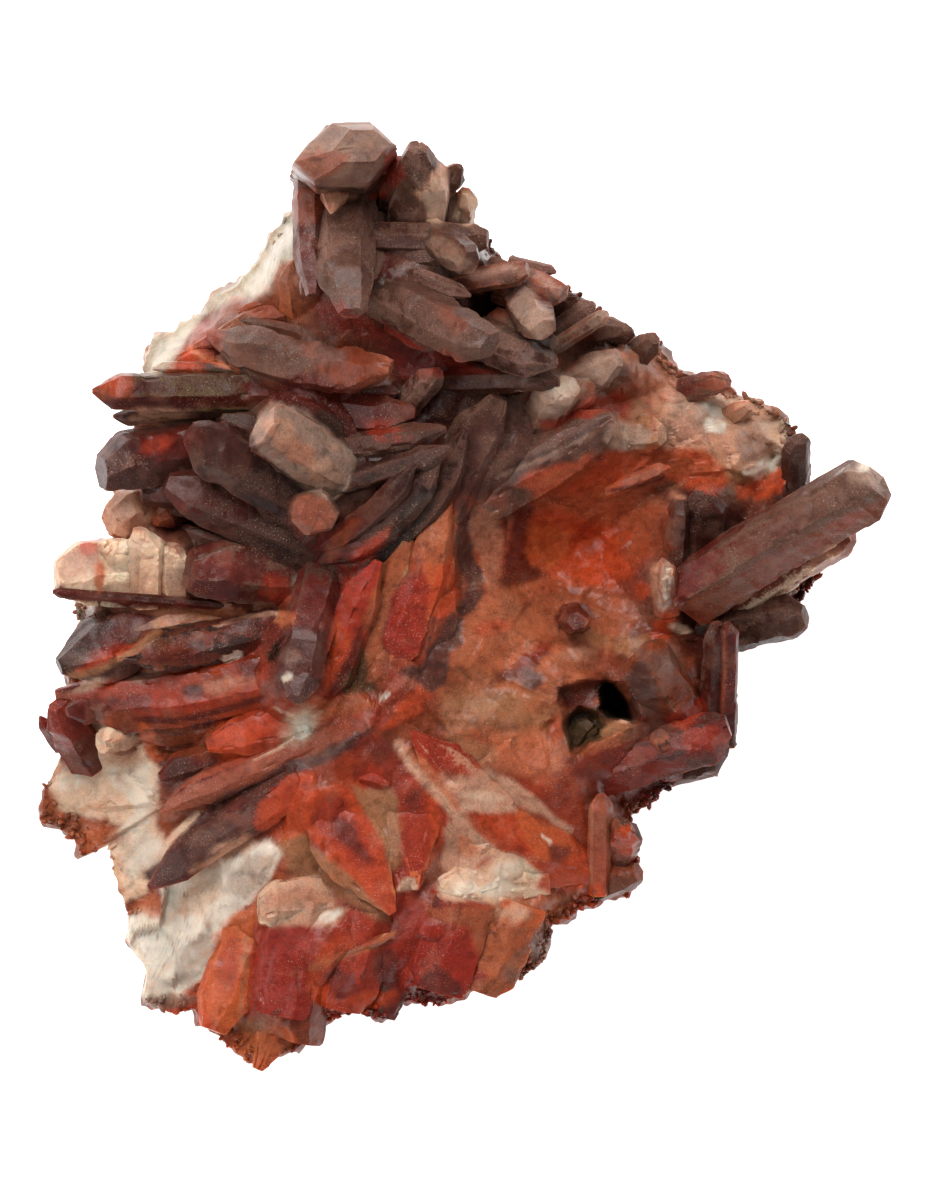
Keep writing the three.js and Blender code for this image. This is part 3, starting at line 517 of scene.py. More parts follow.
def mixed(share, first, second, blend="MIX"):
    """The first colour turned into the second by a share, through a Mix node."""
    inputs = {"Factor": share, 6: first, 7: second}
    return Wire.node("ShaderNodeMix", {"data_type": "RGBA", "blend_type": blend}, inputs, 2)


def vector(operation, first, second, output=0):
    """A Vector Math node."""
    inputs = {0: first, 1: second}
    return Wire.node("ShaderNodeVectorMath", {"operation": operation}, inputs, output)


QUARTZ_IOR = 1.544


def stone_finish(name, gloss, grit, broken):
    """Iron-stained quartz. The piece's tint is clouded by noise, its veil of granular iron stain lies over
    it where its cover says, and grains stand up in both. The paler the tint, the clearer the stone. Gloss
    is the coat's weight, grit the height of the grains, broken that of the flat splinters."""
    material = bpy.data.materials.new(name)
    material.use_nodes = True
    Wire.tree = material.node_tree
    Wire.tree.nodes.clear()
    place = Wire.node("ShaderNodeTexCoord", output="Object")

    def noise(scale, detail, roughness=0.55):
        inputs = {"Vector": place, "Scale": scale, "Detail": detail, "Roughness": roughness}
        return Wire.node("ShaderNodeTexNoise", {"normalize": True}, inputs)

    def from_mesh(attribute, output="Color"):
        return Wire.node("ShaderNodeAttribute", {"attribute_name": attribute}, output=output)

    def splinters(scale):
        """Height of flat splinters: in each cell of a Voronoi pattern the surface tilts its own random
        way."""
        tilt = Wire.node("ShaderNodeTexVoronoi", {}, {"Vector": place, "Scale": scale}, "Color")
        centre = Wire.node("ShaderNodeTexVoronoi", {}, {"Vector": place, "Scale": scale}, "Position")
        slope = vector("SUBTRACT", tilt, (0.5, 0.5, 0.5))
        return vector("DOT_PRODUCT", slope, vector("SUBTRACT", place, centre), "Value")

    tint = from_mesh("tint")
    # Four noises from coarse to fine: repeats in a metre, layers, roughness.
    cloud = noise(190, 4)
    mottle = noise(760, 5, 0.65)
    grain = noise(3300, 3, 0.6)
    salt = noise(5200, 2, 0.7)
    veiled = from_mesh("cover", "Fac") + (cloud - 0.5) + (mottle - 0.5) * 1.1 + (grain - 0.5) * 0.5
    veiled = veiled.rising(0.34, 0.66)
    pale = Wire.node("ShaderNodeSeparateColor", {}, {"Color": tint}, "Blue").rising(0.15, 0.5)
    body = mixed(mottle.rising(0.45, 0.75) * 0.35, tint, (1.0, 0.66, 0.5, 1), "SOFT_LIGHT")
    dark_mottle = (1 - mottle.rising(0.3, 0.52)) * (0.42 - 0.3 * pale)
    body = mixed(dark_mottle, body, (0.4, 0.26, 0.22, 1), "MULTIPLY")
    dark_grain = (1 - grain.rising(0.38, 0.58)) * (0.3 - 0.2 * pale)
    body = mixed(dark_grain, body, (0.4, 0.3, 0.26, 1), "MULTIPLY")
    dusty = (1 - grain.rising(0.35, 0.55)) * 0.5
    dust = mixed(dusty, from_mesh("veil"), (0.45, 0.33, 0.3, 1), "MULTIPLY")
    colour = mixed(veiled, body, dust)
    # Pale specks in the base colour: partly the stone's granular iron dust, partly painted glints on its
    # faces.
    dust_and_glint_specks = salt.rising(0.6, 0.7) * cloud.rising(0.4, 0.6) * 0.42
    colour = mixed(dust_and_glint_specks, colour, (0.6, 0.46, 0.37, 1))
    colour = mixed(1.0, colour, (1.0, 0.975, 0.92, 1), "MULTIPLY")
    height = splinters(430.0) * broken + splinters(1300.0) * broken + mottle * (0.0002 * grit)
    height = height + grain * (0.00004 * grit) + grain * veiled * (0.00008 * grit)
    bump = Wire.node("ShaderNodeBump", {}, {"Strength": 0.7, "Distance": 1.0, "Height": height})
    stained = Wire.node("ShaderNodeBsdfPrincipled", {"subsurface_method": "RANDOM_WALK"}, {
        "Base Color": colour,
        "Roughness": 0.22 + veiled * 0.3 + mottle * 0.2,
        "Normal": bump,
        "IOR": QUARTZ_IOR,
        "Subsurface Weight": 0.35,
        "Subsurface Radius": (1.0, 0.32, 0.16),
        "Subsurface Scale": 0.0025,
        "Specular IOR Level": 0.18,
        "Coat Weight": gloss,
        "Coat Roughness": 0.12,
        "Coat IOR": 1.4,
    })
    clear = Wire.node("ShaderNodeBsdfPrincipled", {}, {
        "Base Color": colour,
        "Roughness": 0.12 + mottle * 0.2,
        "Normal": bump,
        "IOR": QUARTZ_IOR,
        "Transmission Weight": 0.9,
    })
    share = pale * (1 - veiled) * (0.05 + 0.1 * cloud.rising(0.4, 0.6))
    shader = Wire.node("ShaderNodeMixShader", {}, {0: share, 1: stained, 2: clear})
    Wire.node("ShaderNodeOutputMaterial", {}, {"Surface": shader})
    return material


def settle(piece, material):
    """Gives a finished piece its material and sets it in the frame in the cluster's place."""
    piece.data.materials.append(material)
    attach(piece, "root")
    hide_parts("quartz_cluster")


crystal_finish = stone_finish("stained_crystal", 0.06, 0.8, 0.1)
crown = crystal_group("crown_crystals", CROWN, 1, CROWN_PAINT, 2)
settle(crown, crystal_finish)


# --------------------------------------------------------------------- the fan
# Long flattened crystals spreading to the upper left, from the pale leaf-shaped one at the top to the dark
# curved ribs at their root: orange to dark red bodies, seen through gaps in a dark purple-grey veil.
FAN = [
    ("lens", (-31.8, 33, 17.6), (-9.4, 27.9, 30.2), 6.2, 0.65, 10, 4.4, 0.35, 6, -1.2,
     "umber", "rose", "bark", 0.3),
    ("lens_shelf", (-31, 30, 17), (-17, 28, 26), 5, 0.7, -10, 4, 0.2, 4, 0,
     "rust", "umber", "umber", 0.45),
    ("lens_back", (-20, 36.4, 18), (-33.4, 31.6, 16), 4.6, 0.7, 20, 6, 0.1, 0, 0,
     "rust", "clay", "bark", 0.3),
    ("thorn", (-21, 36, 19), (-21.6, 42.2, 25), 3.6, 0.85, 10, 3.4, 0.1, 0, 0,
     "clay", "blush", "bark", 0.2),
    ("ember", (-29, 29.4, 15), (-37, 28.8, 18), 4.2, 0.8, 0, 4, 0.2, 0, 0, "ember", "amber", "bark", 0.1),
    ("spear", (-23, 26.2, 19), (-45.9, 25.9, 24), 5.2, 0.8, 20, 3.2, 0.12, 0, 0,
     "wine", "wine", "olive", 0.4),
    ("spear_low", (-29, 23.4, 15), (-41, 22.5, 17.6), 3.2, 0.8, 0, 1.6, 0.5, 0, 0,
     "brick", "ember", "bark", 0.1),
    ("prow", (-25, 20.4, 15), (-44.9, 17, 23), 8.4, 0.8, 12, 3, 0.6, 0, 0, "coal", "plum", "ash", 0.5),
    ("prow_low", (-24, 15.6, 15), (-40, 13.4, 20), 6, 0.8, -16, 3.2, 0.35, 0, 0,
     "wine", "plum", "umber", 0.5),
    ("tablet", (-13.4, 15, 22.4), (-24.9, 21.7, 32), 7.6, 0.5, -2, 1.4, 0.8, 0, 0,
     "coal", "umber", "umber", 0.25),
    ("slab_dark", (-14, 9.6, 19), (-34.5, 20.4, 27), 8, 0.7, 8, 4, 0.35, 0, 0,
     "coal", "coal", "umber", 0.5),
    ("slab_lower", (-17, 6, 17), (-37, 14.4, 22), 6.6, 0.75, 14, 4, 0.35, 0, 0,
     "coal", "garnet", "umber", 0.5),
    ("window", (-19, 12, 15), (-18.7, 10.2, 32), 6.4, 0.85, 0, 1.4, 0.72, 0, 0,
     "coal", "bark", "umber", 0.3),
    ("rib_outer", (-17.5, 3.6, 19), (0.2, 21, 27), 4.4, 0.8, 10, 5, 0.12, 3, -3.6,
     "coal", "coal", "umber", 0.5),
    ("rib_second", (-18, 4.6, 20), (-3.2, 17.4, 29), 3.8, 0.85, 0, 4, 0.15, 3, -2.2,
     "garnet", "coal", "umber", 0.45),
    ("rib_third", (-18.6, 6.2, 20), (-6, 16.8, 31), 3.4, 0.85, 10, 4, 0.15, 3, -1.2,
     "garnet", "coal", "umber", 0.45),
    ("rib_upper", (-17, 13.4, 22), (-1.4, 18.4, 30), 3.6, 0.85, 0, 4, 0.15, 3, 0,
     "coal", "coal", "umber", 0.5),
    ("rib_top", (-17, 18.4, 22), (-2, 20.6, 28), 4.4, 0.8, 0, 4, 0.2, 3, 0, "coal", "wine", "umber", 0.5),
    ("hearth", (-21, 24, 20), (-6, 22.4, 26), 5.4, 0.7, 8, 5, 0.2, 3, 0, "wine", "oxblood", "umber", 0.25),
]
FAN_PAINT = [
    ("field", "chalk", 1, 0.3, [(-42, 28), (-41.5, 30.5), (-38, 33.4), (-34, 36.4), (-30, 39.4),
     (-27.4, 42), (-25.6, 45), (-24, 48), (-22, 51.5), (-20.2, 50.6), (-20.2, 41.6), (-22.6, 41.8),
     (-24, 39), (-27, 38), (-30, 37.2), (-32.6, 34.8), (-34.8, 31.6), (-36.5, 28.8), (-38, 27.6)]),
    ("field", "rust", 0.8, 0.6, [(-36, 30), (-34.6, 33), (-32.4, 35.2), (-29, 36.8), (-23.4, 37.4),
     (-23.4, 34.8), (-27, 35), (-31, 34.8), (-32, 33), (-32, 30)]),
    ("field", "bark", 0.7, 0.6, [(-31.6, 30.2), (-32.4, 32), (-31.4, 34.8), (-28, 35.4), (-24, 34.6),
     (-20, 34.2), (-17, 32), (-19, 29.6), (-22.4, 30.8), (-27, 31)]),
    ("field", "blood", 0.6, 0.9, [(-33.4, 34.6), (-30.4, 34.8), (-29.8, 31), (-31.8, 30.4), (-33, 31.4)]),
    ("field", "rust", 0.95, 0.7, [(-20, 33.6), (-16, 32.6), (-12.6, 31.8), (-9.8, 29.8), (-8.8, 27.4),
     (-10.6, 26.4), (-13.6, 26), (-16.4, 27.2), (-19.6, 29.4)]),
    ("field", "ash", 0.8, 0.7, [(-20, 33.4), (-16.4, 32.2), (-14.6, 30.2), (-16, 28.4), (-19.4, 30)]),
    ("spot", "garnet", 0.3, 1, (-14, 29, 4, 2.4, -10)),
    ("field", "bark", 0.8, 0.5, [(-28, 29.4), (-25, 31), (-20, 30), (-18.4, 28.6), (-22, 27.8),
     (-27, 27.6)]),
    ("field", "ember", 0.9, 0.4, [(-37, 28.2), (-34.2, 31.6), (-33, 30.4), (-32.2, 28.2)]),
    ("vein", "peach", 0.9, 0.5, [(-34, 31.4), (-32.6, 30.2), (-30, 29.2), (-28, 28.4)]),
    ("field", "oxblood", 0.85, 0.5, [(-28, 26.8), (-22, 27.6), (-18, 28), (-14, 26), (-9, 26), (-6, 24),
     (-12, 21.6), (-17, 23.4), (-22, 24), (-26, 24.4)]),
    ("field", "rust", 0.85, 0.4, [(-46.6, 26.2), (-44, 29), (-40.6, 29), (-41, 26), (-40.6, 23.6),
     (-43.6, 23.4)]),
    ("spot", "ember", 0.5, 1, (-43, 26.6, 2, 1.3, 0)),
    ("field", "olive", 0.4, 0.4, [(-40.4, 28.8), (-28, 28.6), (-27, 25.6), (-39, 25.2)]),
    ("vein", "wine", 0.9, 0.9, [(-44, 24.2), (-36, 24.6), (-28, 24.6)]),
    ("field", "shell", 0.7, 0.5, [(-41.4, 22.6), (-40.4, 23.6), (-36, 23.6), (-34, 23.4), (-34, 22),
     (-38, 21.4), (-41.4, 21.6)]),
    ("field", "plum", 0.7, 0.5, [(-46.6, 15), (-45.4, 18.4), (-43, 21.8), (-39, 21.8), (-34, 22.2),
     (-30, 22.8), (-28, 20), (-26, 17), (-30, 11.6), (-36, 11.6), (-40, 12.2), (-44, 13.4)]),
    ("field", "oxblood", 0.9, 1.0, [(-41, 19.6), (-38, 21), (-34, 22), (-32, 20.6), (-34, 18), (-37, 17.2),
     (-40, 17.4)]),
    ("spot", "brick", 0.9, 1.2, (-38, 19.2, 2, 1, 25)),
    ("field", "mist", 0.8, 0.3, [(-26.2, 20.4), (-25.6, 22.8), (-23.8, 24.4), (-20.6, 24), (-17.6, 21.4),
     (-13.6, 18.4), (-13.2, 17), (-14.8, 13.6), (-16.2, 12.4), (-18.8, 13.2), (-22.6, 16.2),
     (-25.8, 18.9)]),
    ("spot", "blush", 0.8, 1.0, (-21, 18.6, 3.6, 1.4, -34)),
    ("spot", "shell", 0.8, 0.8, (-22.8, 21.2, 2, 1.6, 0)),
    ("spot", "shell", 0.6, 0.8, (-17.4, 16, 1.6, 1.8, 0)),
    ("field", "brick", 0.6, 0.7, [(-12.6, 22), (-9, 22.4), (-7, 20), (-11, 19.4)]),
    ("field", "rose", 0.75, 0.5, [(-21.6, 12.2), (-19.4, 13.2), (-17.4, 12.6), (-15.6, 10.4), (-18, 7.8),
     (-20, 7.6), (-21.8, 9.4)]),
    ("field", "rust", 0.9, 0.3, [(-17, 6), (-16.4, 4.8), (-14.6, 6.8), (-12.6, 10), (-13.8, 10.2),
     (-16.4, 7.8)]),
    ("field", "brick", 0.9, 0.3, [(-14.4, 4.2), (-12.4, 4.4), (-9.2, 7.8), (-9.2, 9), (-11.4, 8),
     (-13.8, 5.8)]),
    ("field", "soot", 0.85, 0.4, [(-11.6, 3.6), (-8, 5.6), (-6, 7), (-4.4, 10.4), (-3.4, 13.4), (-5, 14),
     (-8, 11), (-9, 8), (-11.4, 5)]),
]
fan = crystal_group("fan_crystals", FAN, 1 + len(CROWN), FAN_PAINT, 2)
settle(fan, crystal_finish)


# --------------------------------------------------------------- the west side
# Broad crystals pointing left from the middle: a brown shell with a fractured white end, a beak, and
# translucent red-orange blades below it.
WEST = [
    ("shell", (-18, 3.4, 13), (-33.8, 4.4, 21), 9.4, 0.75, 8, 4, 0.6, 0, 0,
     "oxblood", "garnet", "bark", 0.35),
    ("snow", (-34, 3.6, 13), (-50.6, 3.4, 18.6), 8.6, 0.66, 25, 4, 0.45, 0, 0,
     "shell", "cream", "cream", 0.2),
    ("snow_peak", (-39.6, -0.4, 16), (-39.4, 8.9, 20.2), 5.6, 0.7, 10, 2, 0.3, 0, 0,
     "shell", "cream", "cream", 0.15),
    ("snow_mid", (-43.4, -0.2, 16), (-43, 7.6, 18.8), 4.8, 0.75, 20, 1.6, 0.4, 0, 0,
     "shell", "cream", "cream", 0.15),
    ("snow_east", (-35.8, 0.2, 16), (-36.2, 7, 19.2), 4.8, 0.7, 0, 2.2, 0.5, 0, 0,
     "shell", "cream", "cream", 0.15),
    ("snow_keel", (-28, -0.8, 17.6), (-51, 0.9, 20), 1.3, 0.8, 0, 1, 0.4, 3, 0,
     "wine", "wine", "umber", 0.3),
    ("blush", (-37.6, 11.4, 12), (-43.8, 10.5, 18), 6.6, 0.8, 18, 2.2, 0.5, 0, 0,
     "rose", "shell", "rust", 0.2),
    ("blush_inner", (-33, 12.6, 12), (-38, 9.6, 17), 3.4, 0.8, 0, 1.5, 0.4, 0, 0,
     "wine", "garnet", "umber", 0.3),
    ("beak", (-33.6, -1.4, 12), (-50.4, -8.1, 17), 8.8, 0.75, 14, 5, 0.26, 0, 0,
     "garnet", "coal", "bark", 0.3),
    ("wedge", (-20, -2.4, 14), (-43, -7.6, 19), 6.4, 0.8, 10, 6, 0.15, 0, 0,
     "garnet", "rust", "coal", 0.45),
    ("wedge_veil", (-22, -0.6, 14), (-41, -3.6, 17), 3.2, 0.8, 20, 4, 0.2, 0, 0,
     "rust", "tan", "umber", 0.3),
    ("blade", (-21, -8.6, 16), (-50.6, -13, 13), 7.6, 0.7, 14, 9, 0.14, 3, 1.2,
     "ember", "rust", "garnet", 0.3),
    ("blade_knot", (-41, -12.4, 11), (-49.4, -14.4, 15), 3.8, 0.8, 0, 2.4, 0.3, 0, 0,
     "blood", "garnet", "umber", 0.4),
    ("stub", (-46.4, -20, 6), (-50.4, -13.2, 14), 6.2, 0.85, 10, 3, 0.4, 0, 0,
     "garnet", "brick", "garnet", 0.3),
    ("under_blade", (-21, -13.6, 13), (-43, -17, 12), 4.6, 0.7, 0, 6, 0.2, 0, 0,
     "rust", "rose", "umber", 0.3),
    ("plum", (-29, -19, 12), (-38, -21.6, 14), 3.8, 0.8, 0, 2.6, 0.3, 0, 0,
     "garnet", "garnet", "umber", 0.3),
    ("plum_west", (-38, -15, 9), (-45.5, -17.5, 14), 5, 0.8, 20, 3, 0.5, 0, 0,
     "rose", "cream", "shell", 0.3),
]
WEST_PAINT = [
    ("field", "shell", 0.6, 0.4, [(-44, 13.8), (-40.6, 14), (-39.4, 12), (-38.6, 11.4), (-38.8, 9.6),
     (-40.4, 9), (-42, 7.4), (-44, 8.4), (-44.6, 10.4)]),
    ("spot", "rose", 0.6, 0.6, (-41, 9.4, 1.6, 1.2, 0)),
    ("field", "clay", 0.7, 0.4, [(-39.4, 11.6), (-36.2, 11.4), (-36, 9.4), (-38.6, 8.8)]),
    ("spot", "rust", 0.6, 0.8, (-46.3, 5.9, 2, 1.9, 10)),
    ("spot", "ember", 0.8, 0.8, (-46.6, 6.4, 1.3, 1.2, 0)),
    ("spot", "amber", 0.8, 0.6, (-45.2, 3, 0.7, 2, 0)),
    ("spot", "blush", 0.5, 0.9, (-48.4, 4.2, 1.6, 2, 0)),
    ("field", "smoke", 0.5, 0.7, [(-37, 5.6), (-34.6, 4.4), (-33.6, 2.4), (-34.6, 0.4), (-37, 0.4)]),
    ("field", "oxblood", 0.9, 0.3, [(-50.8, 1.8), (-48, 1.4), (-44, 0.4), (-40, -0.3), (-36, -0.3),
     (-32, -0.8), (-36, -1.3), (-42, -0.9), (-46, 0), (-50, 0), (-51.2, 0.8)]),
    ("field", "rose", 0.6, 0.5, [(-38, 7.6), (-34, 8.8), (-33.6, 6), (-36, 5.4)]),
    ("field", "plum", 0.6, 0.5, [(-28, 7.6), (-24.4, 7), (-24.4, 3.4), (-27.4, 3.2)]),
    ("field", "wine", 0.6, 0.6, [(-31, 3), (-27, 3), (-26, 0.6), (-29, -0.6)]),
    ("field", "brick", 0.8, 0.6, [(-25.6, 1), (-23.4, -0.4), (-21, 0), (-22.4, 2.8), (-24.4, 3.4)]),
    ("spot", "milk", 0.6, 0.9, (-20, 1.6, 1.1, 1.7, 20)),
    ("field", "coal", 0.7, 0.5, [(-50, -8.6), (-50, -6), (-48.6, -3.2), (-46.6, -1.8), (-44, -0.8),
     (-43, -2.6), (-46, -5.8), (-48, -8.4), (-48, -9.4)]),
    ("field", "garnet", 0.8, 0.5, [(-44, -1), (-41.6, -1.2), (-38.8, -2), (-38.4, -4), (-42, -5.2),
     (-45.4, -5.6), (-43.6, -3)]),
    ("spot", "wine", 0.6, 1.0, (-46.6, -4, 1.6, 1.6, 0)),
    ("field", "blood", 0.9, 0.5, [(-47.8, -9), (-46, -6.4), (-42.4, -5.2), (-40.8, -5.8), (-43, -7.4),
     (-45, -8.6)]),
    ("vein", "ember", 0.7, 0.6, [(-47.4, -9), (-44.6, -7.6), (-41.6, -5.9)]),
    ("vein", "tan", 0.8, 0.7, [(-49, -9.8), (-45, -8.6), (-41, -6.4), (-38, -4)]),
    ("field", "blush", 0.8, 0.4, [(-38.8, -1.5), (-36, -1.1), (-34.4, -1.4), (-35.6, -3), (-37.4, -3.6)]),
    ("field", "garnet", 0.6, 0.7, [(-37.6, -4), (-33, -3.2), (-30.2, -3.8), (-31, -6.4), (-35, -6.4),
     (-39, -6)]),
    ("spot", "olive", 0.5, 0.6, (-37, -5, 2.6, 0.8, 14)),
    ("spot", "plum", 0.8, 0.5, (-33.2, -5.6, 1.4, 0.8, 0)),
    ("field", "oxblood", 0.8, 0.4, [(-40, -6.4), (-36, -6.2), (-31, -6.6), (-31.4, -7.8), (-36, -8),
     (-39.8, -7.6)]),
    ("vein", "shell", 0.6, 0.4, [(-31, -3.4), (-27, -2), (-23.4, -1.6), (-21.4, -2.4)]),
    ("field", "wine", 0.8, 0.6, [(-30, -3.8), (-28.4, -2.2), (-26, -2.2), (-25.6, -3.6), (-27.6, -4.4)]),
    ("field", "garnet", 0.7, 0.6, [(-27, -3.8), (-24, -2.6), (-22, -3.4), (-24, -6.4), (-27, -6.8)]),
    ("field", "brick", 0.7, 0.5, [(-49.8, -12), (-48, -10.6), (-44, -9.8), (-40, -9.8), (-34, -8.8),
     (-29, -8), (-24.6, -8), (-24.6, -11), (-28, -12.8), (-34, -14.2), (-39, -14.6), (-41.6, -13.4),
     (-44, -12), (-47, -12.6)]),
    ("spot", "cream", 0.7, 1, (-46.6, -10.6, 3, 0.7, 20)),
    ("spot", "mist", 0.6, 1, (-39.4, -9.4, 2.4, 0.8, 14)),
    ("spot", "rust", 0.7, 1.2, (-31, -10, 5.4, 1.9, 8)),
    ("spot", "blush", 0.6, 1.2, (-29.4, -10.4, 3, 1, 10)),
    ("spot", "brick", 0.7, 1.2, (-38, -12.6, 2.6, 1.4, 0)),
    ("spot", "wine", 0.8, 0.9, (-33.8, -11.4, 1.6, 1, 0)),
    ("spot", "oxblood", 0.8, 1, (-26.6, -8.2, 2, 1.4, 10)),
    ("spot", "oxblood", 0.7, 1, (-40.4, -12.6, 1.6, 1, 0)),
    ("field", "oxblood", 0.85, 0.5, [(-48, -13.2), (-46, -12), (-43.4, -11.8), (-42, -13), (-43.6, -13.6),
     (-45.6, -15.4), (-47.6, -14.4)]),
    ("vein", "oxblood", 0.85, 0.6, [(-41, -14.8), (-36, -15), (-31, -14), (-25, -12.2)]),
    ("field", "garnet", 0.7, 0.4, [(-52.6, -13.4), (-50, -13.2), (-48.4, -14.6), (-48.6, -17.4),
     (-50, -19.6), (-52, -16)]),
    ("field", "oxblood", 0.8, 0.4, [(-48.4, -14.6), (-46.4, -17), (-46.6, -19), (-48.6, -20.4),
     (-50, -19.6), (-48.4, -17.4)]),
    ("field", "rust", 0.7, 0.7, [(-38.4, -16), (-33, -15.8), (-28, -15), (-28.4, -19.6), (-33, -19.8),
     (-37.6, -20)]),
    ("spot", "amber", 0.8, 0.6, (-39.2, -17.6, 0.9, 2.6, 24)),
    ("field", "plum", 0.85, 0.4, [(-37.6, -20.2), (-35.6, -19.2), (-33.4, -19.4), (-33.4, -22),
     (-35.4, -22.8), (-37, -21.6)]),
    # Painted glints: two small milk spots on the wedge.
    ("spot", "milk", 0.9, 0.7, (-29.4, -7.3, 0.8, 0.5, 10)),
    ("spot", "milk", 0.8, 0.7, (-28.2, -6.8, 0.7, 0.5, 30)),
]
west = crystal_group("west_crystals", WEST, 1 + len(CROWN + FAN), WEST_PAINT, 2)
settle(west, crystal_finish)


# ------------------------------------------------------------------- the heart
# Flame-red blades standing side by side in the middle, and grey-brown crystals that lean up and right from
# them around a smooth orange basin.
HEART = [
    ("pillar", (-17, 4.4, 17), (-21, -12.4, 27), 6.6, 0.8, 8, 3.4, 0.4, 0, 0,
     "garnet", "garnet", "umber", 0.35),
    ("flame", (-9, -9, 19), (-1.4, 12.4, 24), 6.8, 0.5, 12, 8, 0.12, 4, 0,
     "blood", "amber", "peach", 0.15),
    ("flame_low", (-6.5, -11, 18), (-2, 3, 22), 5.4, 0.5, -14, 5, 0.2, 4, 0,
     "brick", "garnet", "plum", 0.25),
    ("reed", (-13.2, -11, 18), (-6.6, 8, 23), 4.6, 0.5, 0, 5, 0.2, 4, 0, "rust", "clay", "tan", 0.25),
    ("reed_red", (-17.6, -13, 18), (-11, 5, 24), 5.2, 0.5, 16, 5, 0.2, 4, 0,
     "brick", "blood", "umber", 0.15),
    ("plume", (-5.4, 5, 19), (3.8, 25.4, 25.6), 6.4, 0.6, 6, 5, 0.3, 0, 0, "garnet", "umber", "bark", 0.4),
    ("sheaf", (1.4, 12, 18), (18.4, 22.8, 23), 6.8, 0.5, -8, 4, 0.3, 0, 0, "bark", "bark", "ash", 0.3),
    ("sheaf_back", (4, 20, 19), (17, 27, 22.4), 4.4, 0.6, 10, 3, 0.3, 0, 0, "umber", "rose", "bark", 0.4),
    ("pearl", (9.6, 21.6, 18), (11.9, 26.8, 26), 6, 0.85, 16, 2, 0.6, 0, 0, "ash", "smoke", "smoke", 0.3),
    ("pearl_east", (11, 25.6, 18), (19, 29.6, 23), 5, 0.85, 12, 2.4, 0.5, 0, 0,
     "rose", "smoke", "smoke", 0.35),
    ("grey_step", (16.5, 20.4, 14), (24.6, 20.6, 19), 4.6, 0.8, 0, 1.4, 0.6, 0, 0,
     "rose", "tan", "smoke", 0.3),
    ("button", (13.5, -2.8, 11), (13.5, -2, 19.4), 4.2, 0.95, 12, 1.2, 0.6, 0, 0,
     "garnet", "oxblood", "umber", 0.4),
    ("glint", (25.2, -1.6, 14), (24.6, 5, 19.6), 3.4, 0.7, 14, 2, 0.1, 0, 0, "rose", "blush", "rose", 0.2),
    ("coal_west", (26.4, 3, 14), (26.8, 12.6, 20), 3.6, 0.9, 0, 1.6, 0.5, 0, 0,
     "wine", "plum", "umber", 0.4),
    ("coal", (29.2, 5, 13), (30.4, 13.4, 20), 5.4, 0.9, 18, 2.4, 0.4, 0, 0, "wine", "wine", "umber", 0.4),
    ("shard", (17.8, 13.6, 14), (25.4, 16.6, 19), 2, 0.8, 0, 1.6, 0.2, 0, 0, "amber", "rose", "rust", 0.1),
]
